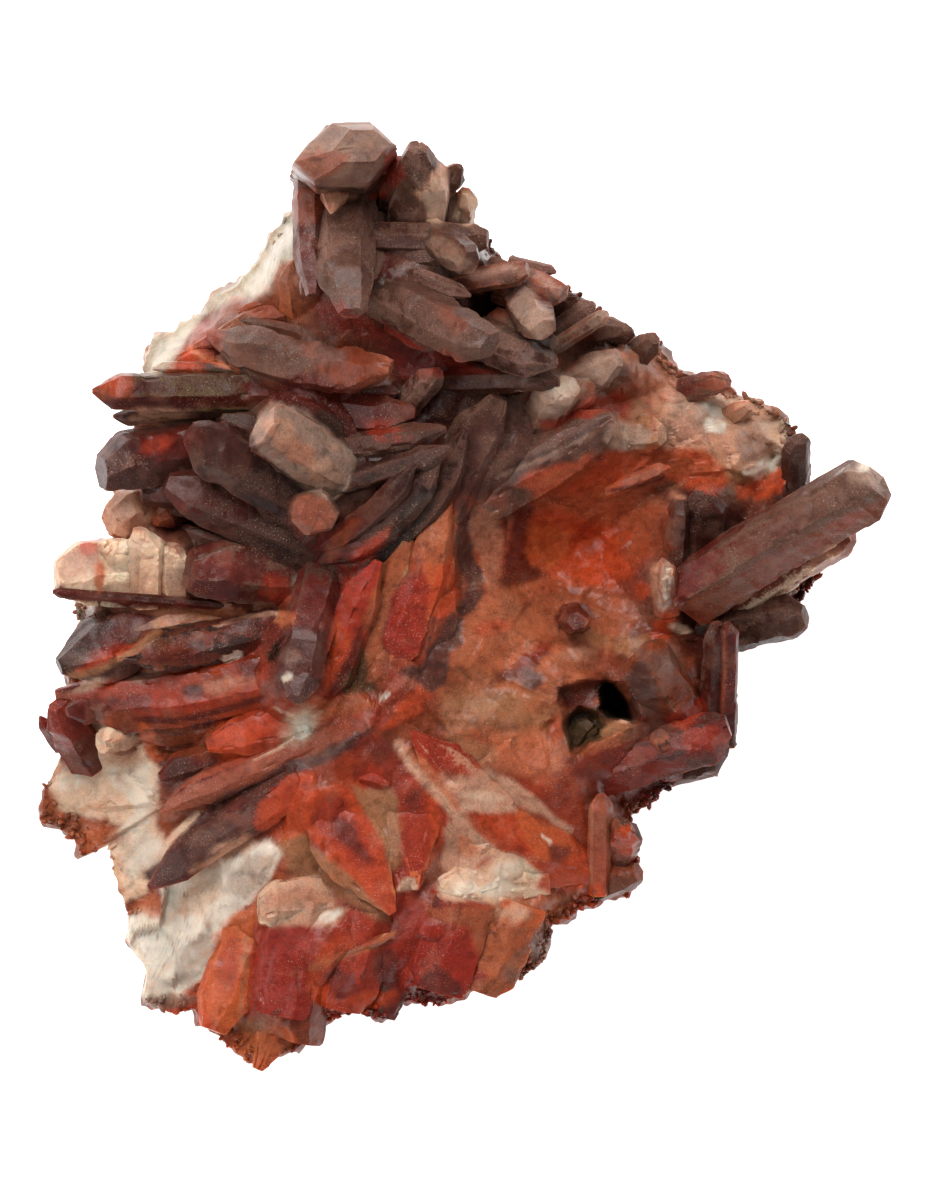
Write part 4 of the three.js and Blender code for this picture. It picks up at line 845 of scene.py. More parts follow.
HEART_PAINT = [
    ("spot", "clay", 0.7, 2.0, (5, -9, 12, 12, 0)), ("spot", "ember", 0.7, 1.5, (16, 9, 9, 6, 0)),
    ("field", "plum", 0.6, 0.8, [(-1, 20), (4, 23), (8, 21.6), (12, 21), (17, 23), (17.4, 19.4),
     (14, 17.4), (9, 15.4), (5, 13.4), (0, 12.2), (-1.4, 15)]),
    ("field", "ash", 0.6, 0.9, [(2, 20), (9, 20.6), (16, 22), (16.6, 19.6), (11, 17), (5, 15), (2, 16)]),
    ("vein", "smoke", 0.6, 0.35, [(4, 15.2), (10, 17.6), (16, 20.6)]),
    ("vein", "coal", 0.6, 0.4, [(5, 16.2), (11, 18.6), (16, 21.4)]),
    ("field", "blush", 0.7, 0.8, [(0.6, 11), (2.2, 11.6), (4.4, 11), (5.4, 8), (4.4, 4), (3.4, 1.4),
     (2.4, 3.4), (1, 7)]),
    ("field", "rose", 0.6, 0.6, [(-3, 13), (0, 12.6), (5, 13.4), (5.6, 11), (2, 11.6), (-3, 11)]),
    ("field", "brick", 0.85, 0.5, [(-14.8, 3), (-12, 2.5), (-11.6, 0), (-12.6, -3), (-15, -4.5),
     (-16, -2.5), (-15, 0.5)]),
    ("field", "ember", 0.85, 0.4, [(-16, -2.4), (-13.6, -4.6), (-14.4, -7), (-16, -10), (-17.3, -12.2),
     (-17.8, -11), (-17, -7), (-16.6, -4.5)]),
    ("field", "oxblood", 0.9, 0.4, [(-12.6, -2.8), (-12, -5), (-13, -8), (-15, -11), (-17, -12.8),
     (-17.4, -12), (-16, -10), (-14.6, -7), (-13.8, -4.6)]),
    ("field", "olive", 0.85, 0.4, [(-12.8, -6), (-11.4, -7), (-11, -11.2), (-14.6, -11.8), (-15.4, -10.6),
     (-13.6, -8.6)]),
    ("field", "clay", 0.85, 0.5, [(-9.4, 6), (-7.2, 4.5), (-9, 1), (-10.2, -4), (-10.6, -10), (-12, -10.4),
     (-12.4, -5), (-12, -1), (-10.8, 2.5)]),
    ("field", "blood", 0.9, 0.4, [(-5, 3.6), (-7, 2), (-8.8, 0.4), (-9.6, -2), (-10, -5), (-9, -6.7),
     (-6.4, -6.8), (-5, -6), (-4.4, -4), (-4.8, -2), (-3.8, 1)]),
    ("field", "ember", 0.9, 0.3, [(-2, 5.6), (-0.9, 3), (-0.8, 0.5), (-1.4, -1.6), (-3, -2.5),
     (-4.2, -1.6), (-4.3, 0.5), (-3.4, 3.4)]),
    ("field", "clay", 0.9, 0.3, [(-6, 7), (-4.6, 9.2), (-3.4, 10.8), (-1, 11.2), (-0.4, 9), (-1.4, 6.6),
     (-2.2, 4.6), (-3.8, 4), (-5, 4.4), (-6, 5.6)]),
    ("spot", "peach", 0.7, 0.7, (-3, 8.6, 1.2, 2.2, -25)),
    ("field", "plum", 0.9, 0.25, [(-0.5, 12.8), (0.4, 12.4), (0.5, 8), (1.4, 5.4), (2.4, 3.6), (2.7, 2),
     (2.2, 0), (1, -1.6), (-0.3, -2), (-0.8, -1), (0.1, 0.2), (0.4, 1.8), (-0.4, 3.4), (-0.9, 5.5),
     (-0.9, 8)]),
    ("field", "plum", 0.9, 0.3, [(-1.4, -1.6), (-0.3, -2.4), (-0.1, -5.6), (-1.8, -6.2), (-1.9, -8),
     (-2.5, -10.5), (-4, -11.4), (-5.6, -10.3), (-8.5, -9.1), (-7.6, -8.3), (-5.2, -8.3), (-4.6, -6),
     (-3, -4.6), (-2.6, -2.6)]),
    ("field", "garnet", 0.85, 0.7, [(-16.2, 3.4), (-15.8, 0.5), (-16.4, -2), (-16.8, -4), (-21, -3.4),
     (-21, -1), (-18.4, 1.8)]),
    ("field", "plum", 0.85, 0.8, [(-16.8, -3.8), (-17, -8), (-17.4, -11), (-20, -12.8), (-22.8, -11.4),
     (-23.8, -8.5), (-22.8, -6), (-21, -3.4)]),
    ("spot", "ash", 0.7, 1, (-21.6, -7, 1.3, 1.1, 0)),
    ("field", "soot", 0.9, 0.3, [(-24.8, -6.6), (-21.6, -3.7), (-22.4, -5), (-23.4, -7.8), (-24.4, -7.6)]),
    ("field", "peach", 0.85, 0.3, [(-24.2, -1.4), (-21, -1.6), (-20.8, -2.8), (-22, -3.5), (-23.6, -2.5)]),
    ("field", "peach", 0.8, 0.4, [(-18.6, -11.6), (-17, -12.5), (-17.8, -14.4), (-19.8, -13.6)]),
    ("field", "clay", 0.85, 0.5, [(-17, -12.4), (-13, -11.7), (-11, -13), (-13, -14), (-16, -14.4),
     (-18.4, -15.5), (-19, -14.4)]),
    ("field", "brick", 0.8, 0.5, [(-13.6, -14.3), (-11.4, -15), (-10.8, -17), (-13, -17.9), (-16, -18.2),
     (-18, -17.4), (-16, -16)]),
    ("field", "rose", 0.8, 0.5, [(-9.8, -10.2), (-7.4, -9.4), (-5.4, -10.6), (-7.2, -11.6),
     (-9.2, -11.6)]),
    ("field", "ember", 0.8, 0.4, [(-8, -12.2), (-5.6, -10.8), (-4, -12), (-5, -14), (-8.4, -15.8),
     (-10.6, -16.4), (-9, -14.4)]),
    ("field", "rust", 0.85, 0.6, [(-10.4, -16.7), (-5, -14.3), (-2.4, -13.6), (-3, -17), (-8, -18.4)]),
    # Painted glint: a white star of light, a cream and milk spot with three short cream rays.
    ("spot", "cream", 0.9, 1.0, (-20, -15, 1.9, 2.1, 0)),
    ("spot", "milk", 1, 0.6, (-19.9, -15.2, 0.9, 1.2, 0)),
    ("vein", "cream", 0.7, 0.22, [(-20, -15), (-23.4, -13.4)]),
    ("vein", "cream", 0.6, 0.22, [(-20, -15.4), (-17.4, -16.8)]),
    ("vein", "cream", 0.6, 0.22, [(-20, -15), (-17.6, -13.8)]),
    ("field", "tan", 0.6, 1.0, [(-2, -12), (3.4, -11), (7, -11.6), (11, -12), (12, -14), (10, -15.6),
     (4, -15.8), (-2.4, -17.4), (-3, -14)]),
    ("spot", "tan", 0.8, 1.2, (3, -12.8, 3.4, 1.2, 18)), ("spot", "clay", 0.6, 1.2, (9, -13, 2.4, 1, 10)),
    ("field", "peach", 0.6, 0.8, [(3.4, -17), (9, -15.8), (12.6, -18), (12, -21.4), (8, -22.4),
     (4, -20.6)]),
    ("spot", "ember", 0.5, 0.8, (11.4, -16, 0.9, 2, 0)),
    ("spot", "tan", 0.7, 0.8, (0.4, -19, 3.4, 1.8, 0)),
    ("field", "oxblood", 0.8, 0.8, [(3, -10.8), (4, -9), (7.2, -7.8), (9.4, -5.6), (11, -5.2),
     (10.6, -6.8), (8, -8.8), (6, -10)]),
    ("spot", "brick", 0.6, 1, (8.8, -6.8, 2, 0.8, 35)),
    ("spot", "coal", 0.8, 0.9, (8.4, -10, 1.7, 1.3, 0)),
    ("field", "clay", 0.7, 0.9, [(2.4, 4), (5, 1.4), (8, 0.2), (12, 1.2), (16, 1.2), (20, 0.4),
     (21.4, -2.4), (19, -6.4), (12, -5), (8, -2.8), (4.6, -0.8), (2.8, 1.6)]),
    ("spot", "tan", 0.7, 1.2, (16.4, -4.8, 3, 1, -20)),
    ("spot", "shell", 0.4, 1.2, (14, -6.6, 2.4, 0.9, 10)),
    ("spot", "ember", 0.7, 0.9, (3.6, -3.4, 2.4, 1.3, 10)),
    ("field", "tan", 0.8, 0.6, [(19.4, -4.4), (22.6, -4.4), (23.4, -6), (21, -7), (19, -6.4)]),
    ("spot", "oxblood", 0.9, 0.3, (13.6, -2.1, 2.1, 2.0, 0)),
    ("field", "oxblood", 0.85, 0.6, [(6, 12), (8.6, 11.4), (8.2, 9), (7.4, 6), (8.6, 4.2), (10.4, 3.2),
     (6.6, 1.4), (4.4, 2.4), (5, 6), (5.6, 9)]),
    ("field", "amber", 0.7, 0.6, [(7.8, 9), (11, 9.8), (13, 8.4), (13, 5.4), (10.4, 4), (8, 5.4)]),
    ("field", "clay", 0.6, 0.9, [(9, 12.8), (16, 14), (24.6, 13), (24.6, 9), (22, 7.6), (18, 9), (14, 10),
     (11, 11.2)]),
    ("field", "ember", 0.8, 0.5, [(14.2, 8.2), (17.8, 8.2), (18.4, 6), (17.2, 2), (15.2, 2), (14.2, 5)]),
    ("field", "rust", 0.7, 0.8, [(19, 8), (23, 8), (25.6, 10), (26.6, 9.4), (26.6, 5), (23, 5.6),
     (21, 4.4), (19.4, 5.4)]),
    ("field", "ash", 0.7, 0.3, [(25.4, 10), (27.4, 10.2), (27.6, 7.6), (26, 6.4), (25, 7.6)]),
    ("field", "coal", 0.85, 0.5, [(27.6, 12.4), (31, 11), (34, 9), (32, 6.4), (29, 5.2), (27, 4),
     (27.2, 7)]),
    ("field", "ember", 0.75, 0.7, [(6.4, 14), (9, 16), (14, 17.4), (18, 18.6), (22.6, 18.8), (26, 19.2),
     (30, 18.8), (32.6, 16.4), (33.6, 14.6), (31, 13.4), (27.6, 14), (25, 14.6), (20, 14), (14, 13.4),
     (10, 13.2)]),
    ("spot", "clay", 0.6, 1.2, (27, 16.6, 5, 1.2, -10)), ("spot", "clay", 0.5, 1.2, (12, 15.4, 4, 1, 15)),
    ("field", "rose", 0.9, 0.25, [(18.8, 14.2), (21.4, 16.3), (24.8, 17), (24.6, 16), (22, 14.8)]),
    ("vein", "oxblood", 0.85, 0.45, [(18.4, 13.6), (22, 14.3), (24.6, 15.3)]),
    ("field", "blush", 0.8, 0.3, [(25.2, 14.6), (27.6, 12.5), (25.4, 12.6)]),
    ("field", "ember", 0.8, 0.6, [(33.6, 14.6), (36.6, 14.8), (39.4, 16.6), (40.6, 15), (38, 12.8),
     (34, 12.4)]),
    # Painted glint: a milk and shell sparkle over the crystal called glint, with streaks of stain through
    # it.
    ("spot", "milk", 0.7, 1.0, (25, 2, 0.9, 2.9, -8)), ("spot", "shell", 0.6, 1.2, (24, 2.4, 1.4, 2.4, 0)),
    ("vein", "rose", 0.8, 0.25, [(24.3, 4.6), (24.1, 2), (24.7, -0.4)]),
    ("vein", "rust", 0.7, 0.22, [(25.7, 4.4), (25.3, 2.4), (26, 0)]),
    ("vein", "blush", 0.8, 0.25, [(23.4, 3.8), (23.5, 0.6)]),
    ("spot", "ember", 0.7, 0.6, (22.4, 1.2, 1, 1.2, 0)),
    ("field", "ember", 0.8, 0.6, [(24.4, -1.8), (26.8, -1.4), (26, -4), (24.4, -5.4), (23.4, -4)]),
    ("spot", "cream", 0.9, 0.6, (27, -3.6, 1.4, 0.6, -20)),
    ("field", "mist", 0.85, 0.4, [(8.4, 26), (9.6, 27.4), (10.8, 28.8), (13.4, 27.8), (14.8, 26.2),
     (13.6, 24.4), (11.6, 23.4), (9.6, 22.4), (8.6, 24)]),
    ("spot", "ice", 0.5, 0.8, (12.2, 26.2, 1.6, 1.4, 0)),
    ("field", "mist", 0.6, 0.4, [(13.4, 28.6), (15.4, 29.8), (18.6, 30.6), (19.2, 29), (16.6, 27.4),
     (14.6, 26.8)]),
    ("field", "brick", 0.8, 0.5, [(8, 21.6), (12, 22.8), (16, 25.4), (19.6, 26), (20.8, 24), (20, 22.4),
     (17.6, 23.4), (14, 22.4), (10, 20.8)]),
    ("field", "mist", 0.85, 0.4, [(17.8, 21.6), (19.4, 22.3), (22, 21.7), (23.3, 20.4), (22.4, 18.9),
     (20.6, 18.5), (18, 18.8), (17.3, 20)]),
    ("field", "shell", 0.95, 1.0, [(25.6, 27), (28, 25.6), (33, 25.4), (37, 24), (39, 21.6), (38.4, 18),
     (36, 15.6), (33, 15.8), (31.4, 18.6), (29, 19), (25, 19.2), (24, 21), (24.4, 24.6)]),
    ("spot", "mist", 0.7, 1.0, (28, 22.4, 3.6, 3, -20)),
    ("spot", "ash", 0.6, 0.8, (36, 19.2, 2.2, 2.8, 20)),
    ("field", "blush", 0.5, 1.1, [(26, 23.4), (31, 21.4), (33, 20), (33, 17.4), (30.4, 18.8), (26.6, 19.4),
     (25, 21.4)]),
    ("field", "blush", 0.85, 0.7, [(18.4, 31), (20.4, 31.8), (23.6, 31.4), (26.4, 29), (27.8, 27),
     (25.6, 25), (24, 23.6), (22, 25.6), (20.6, 28.4)]),
    ("vein", "rose", 0.7, 0.4, [(22.6, 28), (23, 24), (23.6, 21)]),
    # Painted highlight: milk on the rough quartz of the north-east.
    ("field", "milk", 0.85, 0.3, [(29.6, 22.4), (31, 22.4), (32.9, 21.8), (32.2, 20.8), (30.2, 20.9)]),
    ("spot", "milk", 0.8, 0.8, (31.4, 23.9, 1.6, 1, -20)),
    ("field", "cream", 0.8, 0.4, [(37, 22), (39.8, 22.6), (40, 19), (38.8, 17.8), (38, 20)]),
    ("field", "milk", 0.9, 0.4, [(34.4, 16.1), (36, 16.6), (38, 17.8), (39.3, 18), (38.8, 16.4),
     (36.6, 15.2), (34.8, 15.2)]),
    ("spot", "milk", 0.8, 0.3, (35.4, 15.8, 1.1, 0.5, 10)),
    ("spot", "cream", 0.8, 0.8, (33, 24.2, 2, 0.8, -20)),
    ("spot", "milk", 0.8, 0.4, (-9.8, -11.9, 0.8, 0.4, 20)),
    # Painted highlight: a small ice spot low on the pillar.
    ("spot", "ice", 0.8, 0.8, (-21.9, -9.5, 0.7, 0.5, 20)),
]
heart = crystal_group("heart_crystals", HEART, 1 + len(CROWN + FAN + WEST), HEART_PAINT, 0)
settle(heart, crystal_finish)


# --------------------------------------------------------------- the east side
# One long thick crystal that stands out to the right with a clear broken tip, and the shorter ones at its
# foot around a deep dark pocket.
EAST = [
    ("mast", (27.6, 0.6, 13.6), (51.5, 14.8, 31), 8.6, 0.8, -16, 3, 0.55, 0, 0,
     "garnet", "bark", "bark", 0.4),
    ("mast_shadow", (34, 0, 11), (47.6, 8.6, 21), 5.4, 0.85, 10, 3, 0.5, 0, 0,
     "rust", "rose", "cream", 0.3),
    ("heel", (30, -4, 9), (42.4, -1.2, 15), 6.6, 0.85, 12, 3, 0.4, 0, 0, "coal", "umber", "bark", 0.4),
    ("post", (32.9, -18, 9), (33, -2.8, 20), 2.4, 0.9, 8, 1.2, 0.5, 0, 0, "garnet", "wine", "umber", 0.3),
    ("post_inner", (30.4, -16, 9), (31.2, -3, 19), 3.4, 0.9, 24, 2, 0.4, 0, 0,
     "wine", "wine", "umber", 0.3),
    ("gable", (28, -15.6, 9), (21.6, -6.4, 21.4), 8, 0.7, 20, 2.4, 0.45, 0, 0,
     "garnet", "rust", "bark", 0.3),
    ("sill", (8, -24.2, 12), (33, -16.4, 16), 7, 0.7, -10, 3, 0.4, 0, 0, "brick", "garnet", "plum", 0.3),
    ("sill_end", (25, -21, 6), (32.4, -19, 12), 4.8, 0.85, 14, 2, 0.5, 0, 0,
     "garnet", "umber", "umber", 0.4),
    ("sill_pearl", (25.6, -21.4, 11), (24.8, -17, 17), 3.6, 0.9, 10, 1, 0.6, 0, 0,
     "garnet", "rose", "plum", 0.3),
    ("candle", (16.7, -36.4, 8), (16.9, -24.4, 16.6), 3.2, 0.7, 6, 1.6, 0.4, 0, 0,
     "ember", "rose", "rust", 0.2),
    ("kerb", (17.4, -34, 5), (20.6, -27.8, 14), 5.2, 0.9, 10, 2, 0.5, 0, 0, "brick", "rust", "umber", 0.3),
    ("kerb_low", (14, -36.4, 4), (21.2, -33.4, 10), 4.6, 0.9, 16, 1.8, 0.5, 0, 0,
     "umber", "rust", "umber", 0.3),
    ("drum", (41.2, 12, 8), (41.4, 20.2, 17), 3.8, 0.9, 10, 1.4, 0.6, 0, 0, "coal", "umber", "umber", 0.5),
    ("bean", (27.4, 26, 13), (32.6, 27.6, 18), 3.2, 0.9, 16, 1.4, 0.6, 0, 0,
     "garnet", "rose", "bark", 0.3),
    ("bud", (20.4, 29.6, 14), (23.6, 32.4, 19), 3.6, 0.9, 0, 1.6, 0.5, 0, 0, "umber", "bark", "bark", 0.5),
    ("bud_west", (17.6, 31, 14), (20.6, 33.8, 19), 2.8, 0.9, 20, 1.2, 0.4, 0, 0,
     "umber", "bark", "bark", 0.5),
    ("crumb_north", (32.4, 22.6, 10.4), (35.4, 24.2, 13.6), 2.8, 0.9, 20, 1.4, 0.5, 0, 0,
     "tan", "shell", "blush", 0.3),
    ("pit_dark", (13.4, -17.8, 12), (15.6, -14.8, 13), 3, 0.9, 0, 1.2, 0.5, 0, 0,
     "soot", "olive", "umber", 0.2),
    ("pit_green", (13, -16.6, 12.4), (16.6, -16.4, 12.6), 2, 0.9, 20, 1, 0.5, 0, 0,
     "olive", "olive", "umber", 0.2),
    ("pit_tan", (17.4, -16.8, 15.4), (20.6, -15.4, 17.2), 2, 0.9, 10, 0.8, 0.5, 0, 0,
     "tan", "shell", "umber", 0.1),
]
EAST_PAINT = [
    ("field", "mist", 0.7, 0.9, [(46.8, 15.9), (49.4, 17.8), (52.4, 15.8), (51.8, 13.8), (49.2, 14)]),
    ("spot", "milk", 0.6, 1, (49.6, 16.6, 1.4, 0.8, 20)),
    ("spot", "brick", 0.6, 1.0, (45.6, 8.6, 4.4, 0.9, 32)),
    ("field", "rust", 0.6, 0.6, [(28.6, -4), (40, 2.8), (52.6, 10.6), (52.4, 12.6), (44, 9), (36, 4.6),
     (27.6, 0.2)]),
    ("vein", "ash", 0.5, 0.5, [(29, 3.4), (38, 8.6), (47, 14)]),
    ("vein", "ash", 0.6, 0.35, [(29, -0.6), (37, 4), (46, 9)]),
    ("field", "oxblood", 0.9, 0.4, [(11.4, -10.8), (14, -9.9), (18, -9.6), (16.6, -12.4), (16, -13.6),
     (13, -13.4), (11.8, -13)]),
    # Painted shade: soot at full strength in the deep hole of the pocket.
    ("field", "soot", 1, 0.4, [(17, -10.2), (18.6, -10.6), (20.4, -13.4), (21.2, -15.2), (18, -14.8),
     (16.6, -13.8), (16.4, -12)]),
    ("field", "olive", 0.85, 0.4, [(13, -13.6), (16.4, -13.6), (17.6, -15.4), (17, -17.6), (13, -18.8),
     (12.6, -15.4)]),
    ("field", "tan", 1, 0.25, [(17.2, -16.8), (17.8, -15.8), (18.8, -15), (20, -15), (21, -15.7),
     (19.6, -16.4), (18.6, -17)]),
    ("field", "clay", 0.7, 0.4, [(12.4, -19), (16, -17.8), (20, -16.4), (22.6, -15.2), (22, -16.8),
     (18, -18.4), (14, -19.8)]),
    ("field", "plum", 0.7, 0.5, [(21, -15.4), (24.6, -14.8), (27, -14.4), (27, -16), (23.4, -17.4),
     (20, -17.4)]),
    ("field", "garnet", 0.5, 0.7, [(13, -19.6), (17, -18.8), (22, -18.4), (24, -20), (22, -23.6),
     (18, -25.4), (15, -24)]),
    ("field", "brick", 0.85, 0.4, [(25, -15.2), (27, -12.8), (29.2, -12.2), (30.2, -14), (27.6, -15.8)]),
    ("field", "brick", 0.7, 0.5, [(27, -16), (31, -15.6), (33.2, -17), (31, -18.6), (28, -18.8)]),
    ("field", "umber", 0.8, 0.4, [(27.6, -20), (31, -19.2), (31.8, -21), (29, -22.4)]),
    ("field", "plum", 0.85, 0.3, [(20.6, -7.8), (22.6, -7.6), (24.2, -12), (24.2, -14.2), (21.4, -14.6),
     (20.4, -11)]),
    ("field", "rust", 0.6, 0.4, [(25, -7), (28.8, -7), (29.4, -11), (27, -14), (24.8, -13.6),
     (24.2, -9.6)]),
    ("field", "ash", 0.6, 0.4, [(21, -6.2), (27, -5.8), (27.4, -8.4), (24, -9), (21.6, -8)]),
    ("field", "wine", 0.85, 0.4, [(30, -6.2), (31.8, -5), (32.2, -9), (31.8, -14), (30.4, -11),
     (29.4, -8.4)]),
    ("field", "garnet", 0.8, 0.3, [(32.2, -3), (34, -3.4), (34.2, -9), (33.8, -14), (32.4, -14),
     (32.2, -9)]),
    ("vein", "rose", 0.7, 0.3, [(32.2, -4), (32.3, -9), (32.1, -14)]),
    ("spot", "rose", 0.6, 0.5, (15.9, -30, 0.5, 5, 0)),
    ("field", "rose", 0.6, 0.4, [(15.2, -24.8), (18.4, -25), (18.6, -35), (15.4, -35.4)]),
    ("vein", "blush", 0.7, 0.3, [(15.9, -25.6), (15.8, -35)]),
    ("spot", "ember", 0.8, 0.7, (20, -30, 1.6, 2.2, 0)),
    ("spot", "bark", 0.7, 0.6, (19.6, -35.4, 2.6, 1.1, 10)),
    ("spot", "shell", 0.6, 0.8, (45, 5.4, 3, 0.9, 32)),
]
east = crystal_group("east_crystals", EAST, 1 + len(CROWN + FAN + WEST + HEART), EAST_PAINT, 0)
settle(east, crystal_finish)


# -------------------------------------------------------------- the south side
# Red leaf-shaped blades with pale rims, a long dark girder across the white quartz, and a row of glossy
# wine-red to orange crystals along the lower rim.
SOUTH = [
    ("shuttle", (17.6, -34.8, 9), (-7.4, -17.6, 19), 10.8, 0.35, 8, 11, 0.08, 8, 1.4,
     "ember", "brick", "blush", 0.12),
    ("leaf", (-19, -22.4, 15.6), (-9, -39, 16.6), 8.6, 0.2, 4, 9, 0.1, 6, 0,
     "blood", "brick", "amber", 0.2),
    ("leaf_small", (-6.2, -19.6, 16.4), (-6.4, -36, 16.2), 6, 0.22, 0, 8, 0.1, 6, 0,
     "brick", "blood", "amber", 0.2),
    ("drop", (-14, -21.4, 15), (-9, -22.6, 18), 3, 0.8, 0, 1.6, 0.3, 1.6, 0,
     "brick", "brick", "clay", 0.2),
    ("girder", (-11, -16.6, 17.6), (-39.6, -35.2, 14), 4.8, 0.42, 2, 6, 0.14, 12, 0,
     "garnet", "plum", "umber", 0.4),
    ("girder_rail", (-12, -14.6, 17.4), (-38, -26, 14), 4.2, 0.42, 4, 5, 0.15, 8, 0,
     "brick", "rose", "garnet", 0.3),
    ("girder_flank", (-14, -23, 14), (-29, -30.4, 11), 5, 0.5, 20, 4, 0.2, 4, 0,
     "ember", "rust", "garnet", 0.3),
    ("coral", (-15, -14.2, 16), (-32, -17.8, 16), 5.4, 0.5, 6, 5, 0.25, 4, 0,
     "brick", "ember", "garnet", 0.2),
    ("frost", (10, -33.4, 10.6), (-3, -36, 14), 6.2, 0.5, 10, 3, 0.4, 0, 0,
     "cream", "cream", "shell", 0.2),
    ("frost_drop", (9, -38, 8), (3.6, -39.6, 12), 3.6, 0.8, 0, 1.6, 0.4, 0, 0,
     "shell", "shell", "rose", 0.3),
    ("frost_west", (-14, -37, 11.4), (-25.6, -37.6, 13.8), 6.6, 0.6, 12, 2.6, 0.5, 0, 0,
     "shell", "cream", "rose", 0.2),
    ("garnet", (-20.6, -37, 13), (-23.2, -51.6, 12), 8.6, 0.5, 12, 2.6, 0.75, 0, 0,
     "blood", "blood", "garnet", 0.25),
    ("garnet_west", (-25.2, -37.4, 9), (-31.2, -53.6, 10.2), 7.4, 0.5, 20, 3.6, 0.5, 0, 0,
     "amber", "ember", "rust", 0.15),
    ("garnet_low", (-18.6, -42, 10.6), (-21, -55, 9.6), 7.4, 0.85, 0, 2.4, 0.7, 0, 0,
     "blood", "rust", "umber", 0.3),
    ("garnet_mid", (-12, -37.6, 13.4), (-15, -51, 11.6), 8, 0.5, 10, 2.6, 0.7, 0, 0,
     "brick", "brick", "garnet", 0.25),
    ("garnet_stub", (-8.6, -41, 9), (-10.6, -52, 9.4), 6, 0.85, 24, 2, 0.7, 0, 0,
     "blood", "garnet", "umber", 0.3),
    ("garnet_east", (-0.4, -36.8, 14), (-4, -48.4, 12), 9.4, 0.5, 14, 2.6, 0.75, 0, 0,
     "brick", "blood", "garnet", 0.2),
    ("amber_east", (6.6, -37.4, 12), (2.4, -48.8, 10.4), 8.4, 0.45, 8, 2.4, 0.7, 0, 0,
     "amber", "clay", "rust", 0.2),
    ("amber_toe", (-22, -46.6, 6.4), (-26.9, -58, 7.6), 9.4, 0.55, 12, 9, 0.12, 0, 0,
     "ember", "clay", "bark", 0.25),
    ("vein", (-20, -46, 12.6), (-8.4, -41.4, 15.4), 1.3, 0.8, 0, 2, 0.2, 2, 0,
     "ember", "clay", "shell", 0.3),
]
